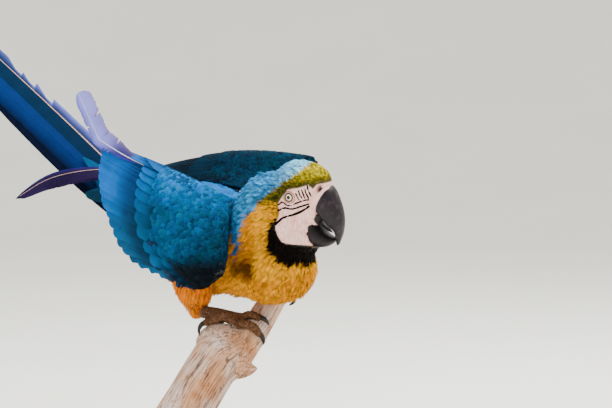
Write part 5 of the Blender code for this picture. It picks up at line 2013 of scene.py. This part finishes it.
@dataclass
class Perch:
    """The cut length of dead branch, with drying cracks along its grain."""
    log: tuple = ((30, -116, -226), (34, -84, -180), (39, -52, -138), (41, -38, -114), (38, -34, -96))
    limb: tuple = ((50, -34, -132), (56, -7, -104), (52, 26, -73), (46, 57, -45), (42, 86, -14))
    log_radius: float = 30.0
    limb_radius: float = 16.0
    limb_shift: float = 400.0    # sets the limb's grain apart from the log's
    crack_depth: float = 1.6
    voxel: float = 1.5

    def build(self) -> None:
        """Make, crack, dress and hand over the branch."""
        piece = melted("perch_wood", ("perch_branch",), self.voxel, 2)
        mesh = piece.data
        places = coordinates(mesh)
        best = np.full(len(places), 1e9)
        grain_map = np.zeros((len(places), 3))
        for route, radius, shift in ((self.log, self.log_radius, 0.0),
                                     (self.limb, self.limb_radius, self.limb_shift)):
            curve = smooth_curve(route, 60)
            run = travelled(curve)
            ahead = unit(np.gradient(curve, axis=0))
            near = np.linalg.norm(places[:, None] - curve[None], axis=2).argmin(axis=1)
            offset = places - curve[near]
            way = ahead[near]
            first = unit(np.cross(way, (0.3, 0.2, 1.0)))
            second = np.cross(way, first)
            far = np.linalg.norm(offset, axis=1) - radius
            local = np.stack([(offset * axis).sum(axis=1) for axis in (first, second, way)], 1)
            local[:, 2] += run[near] + shift
            closer = far < best
            grain_map[closer] = local[closer]
            best = np.where(closer, far, best)
        streaks = grain(grain_map / (7.0, 7.0, 75.0), 1.0, 3)
        crack = smoothstep(0.055, 0.0, np.abs(streaks)) * smoothstep(-0.1, 0.25, grain(places, 30.0, 2, 5.0))
        lumps = grain(grain_map / (10.0, 10.0, 60.0), 1.0, 3, 9.0)
        deep = crack * self.crack_depth + np.clip(0.5 + lumps, 0, 1.2) * 0.9
        place_vertices(mesh, places - normals(mesh) * deep[:, None])
        write(mesh, "crack", "FLOAT", crack)
        write(mesh, "fibre", "FLOAT_VECTOR", grain_map * MM)
        mesh.materials.append(WoodFinish().make())
        finish_piece(piece, ("perch_branch",))


@dataclass
class Stand:
    """The plain display stand, kept as the solids give it."""

    def dress(self) -> None:
        """Give base and rods their finishes."""
        upright = (1.0, 1.0, 0.08)
        finishes = {"stand_base": StandFinish("black_lacquer", "#24262a", 0.0, 0.38, 1.2, (0.1, 1.0, 1.0)),
                    "stand_rod_1": StandFinish("brushed_steel_1", "#9a9ea2", 1.0, 0.3, 0.25, upright),
                    "stand_rod_2": StandFinish("brushed_steel_2", "#9a9ea2", 1.0, 0.3, 0.25, upright)}
        for node, finish in finishes.items():
            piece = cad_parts[node]
            piece.data.materials.clear()
            piece.data.materials.append(finish.make())
            LOG.info("%s: dressed", node)


@dataclass
class Studio:
    """Pale floor, soft light and the camera."""
    azimuth: float = 45.0
    elevation: float = 3.0
    distance: float = 2.6
    lens: float = 133.7
    aim: tuple = (66.4, 69.5, 41.1)
    flat: float = 4.0            # metres of floor before it bends up into the wall
    bend: float = 3.5
    wall: float = 6.0
    around: int = 64

    def build(self) -> None:
        """Set floor, world, lights and camera."""
        bends = np.linspace(0.1, math.pi / 2, 16)
        cove = [(self.flat + self.bend * math.sin(a), self.bend * (1 - math.cos(a))) for a in bends]
        profile = [(self.flat, 0.0), *cove, (self.flat + self.bend, self.wall)]
        turns = np.linspace(0, TURN, self.around, endpoint=False)
        places = [(math.cos(a) * r, math.sin(a) * r, z) for r, z in profile for a in turns]
        floor = bpy.data.meshes.new("floor")
        floor.from_pydata(places, [], [tuple(range(self.around)), *tube_sides(len(profile), self.around)])
        floor.shade_smooth()
        made, add, shader = new_material("matte_floor")
        place = add("ShaderNodeTexCoord").outputs["Object"]
        soft = add("ShaderNodeTexNoise", {"Vector": place, "Scale": 3.0})
        tone = with_stops(add("ShaderNodeValToRGB", {0: soft}), ((0.3, "#f1f1e8"), (0.7, "#f5f5ee")))
        feed(shader, {"Base Color": tone, "Roughness": 0.9})
        floor.materials.append(made)
        linked("floor", floor)

        world = bpy.data.worlds.new("soft_sky")
        bpy.context.scene.world = world
        world.use_nodes = True
        feed(world.node_tree.nodes["Background"], {"Color": rgba("#f6f4f4"), "Strength": 1.45})

        a, e = math.radians(self.azimuth), math.radians(self.elevation)
        back = Vector((math.sin(a) * math.cos(e), -math.cos(a) * math.cos(e), math.sin(e)))
        right = Vector((math.cos(a), math.sin(a), 0))
        aim = Vector(metres(self.aim))
        for name, way, power, size in (("key", -back * 0.4 + right * 0.9 + Vector((0, 0, 2.2)), 150.0, 1.2),
                                       ("fill", back * 2.2 - right * 1.6 + Vector((0, 0, 1.9)), 45.0, 2.0)):
            lamp = bpy.data.lights.new(name, "AREA")
            lamp.energy, lamp.size = power, size
            light = linked(name, lamp)
            light.location = aim + way
            light.rotation_mode = "QUATERNION"
            light.rotation_quaternion = (-way).to_track_quat("-Z", "Y")
        lens = bpy.data.cameras.new("camera")
        lens.lens, lens.sensor_width, lens.clip_end = self.lens, 36.0, 200.0
        camera = linked("camera", lens)
        camera.location = aim + back * self.distance
        camera.rotation_mode = "QUATERNION"
        camera.rotation_quaternion = (-back).to_track_quat("-Z", "Y")
        bpy.context.scene.camera = camera


# ------------------------------------------------------------------ the whole model

RIGHT_WING = WingSheet(
    Side.RIGHT, front=((60, -38, 51), (68, -58, 26), (79, -74, -2), (84, -84, -27), (66, -88, -47)),
    tips=((-160, -44, 112), (-150, -60, 77), (-115, -78, 36), (-66, -91, -6), (2, -95, -27), (44, -90, -47)),
    bulge=16.0)
LEFT_WING = WingSheet(
    Side.LEFT, front=((46, 16, 56), (58, 46, 70), (64, 78, 96), (60, 98, 84), (40, 106, 60)),
    tips=((-132, -20, 75), (-138, 2, 78), (-130, 26, 78), (-104, 50, 74), (-66, 76, 58)), bulge=12.0)


def main() -> None:
    """Build every sub-assembly and hand it to the frame."""
    logging.basicConfig(level=logging.INFO, format="%(message)s")
    Studio().build()
    Tools.kit = VaneKit().build()
    Tools.tree = LayTree().build()
    skin = Skin().build()
    finish_piece(skin, FLESH)

    small = FeatherFinish("contour_feather").make()
    scaly = FeatherFinish("foot_scute", barbs=3.0, rim=0.6, root=0.8, roughness=0.6, slant=0.0).make()
    large = FeatherFinish("flight_feather", barbs=80.0, rim=0.12, root=0.8, roughness=0.52, slant=26.0,
                          depth=0.3, barb_tone=0.36).make()

    body = Surface("body_form", ("trunk", "neck", "head", "thigh_right", "thigh_left"), 2.0, 10).build()
    hard = ("wing_right_arm", "wing_left_arm", "perch_branch", "bill_upper", "bill_lower")
    hiding = [solid_tree(node) for node in hard]
    for piece in Coat().build(body, hiding, small):
        finish_piece(piece)
    finish_piece(FaceLines().build(body, small))
    body.discard()

    for sheet in (RIGHT_WING, LEFT_WING):
        Wing(sheet).build(small, large)
    bent = QuillMesh("bent_feather", rows=96).build([bent_feather()], large)
    finish_piece(bent, ("wing_right_bent_feather",))
    tail = QuillMesh("tail_feathers", rows=100).build(Tail().quills(), large)
    finish_piece(tail, ("tail_middle", "tail_right", "tail_left"))

    Bill().build()
    Eyes().build()
    finish_piece(Feet().build(scaly))
    Feet().claws()
    Perch().build()
    Stand().dress()


if __name__ == "__main__":
    main()
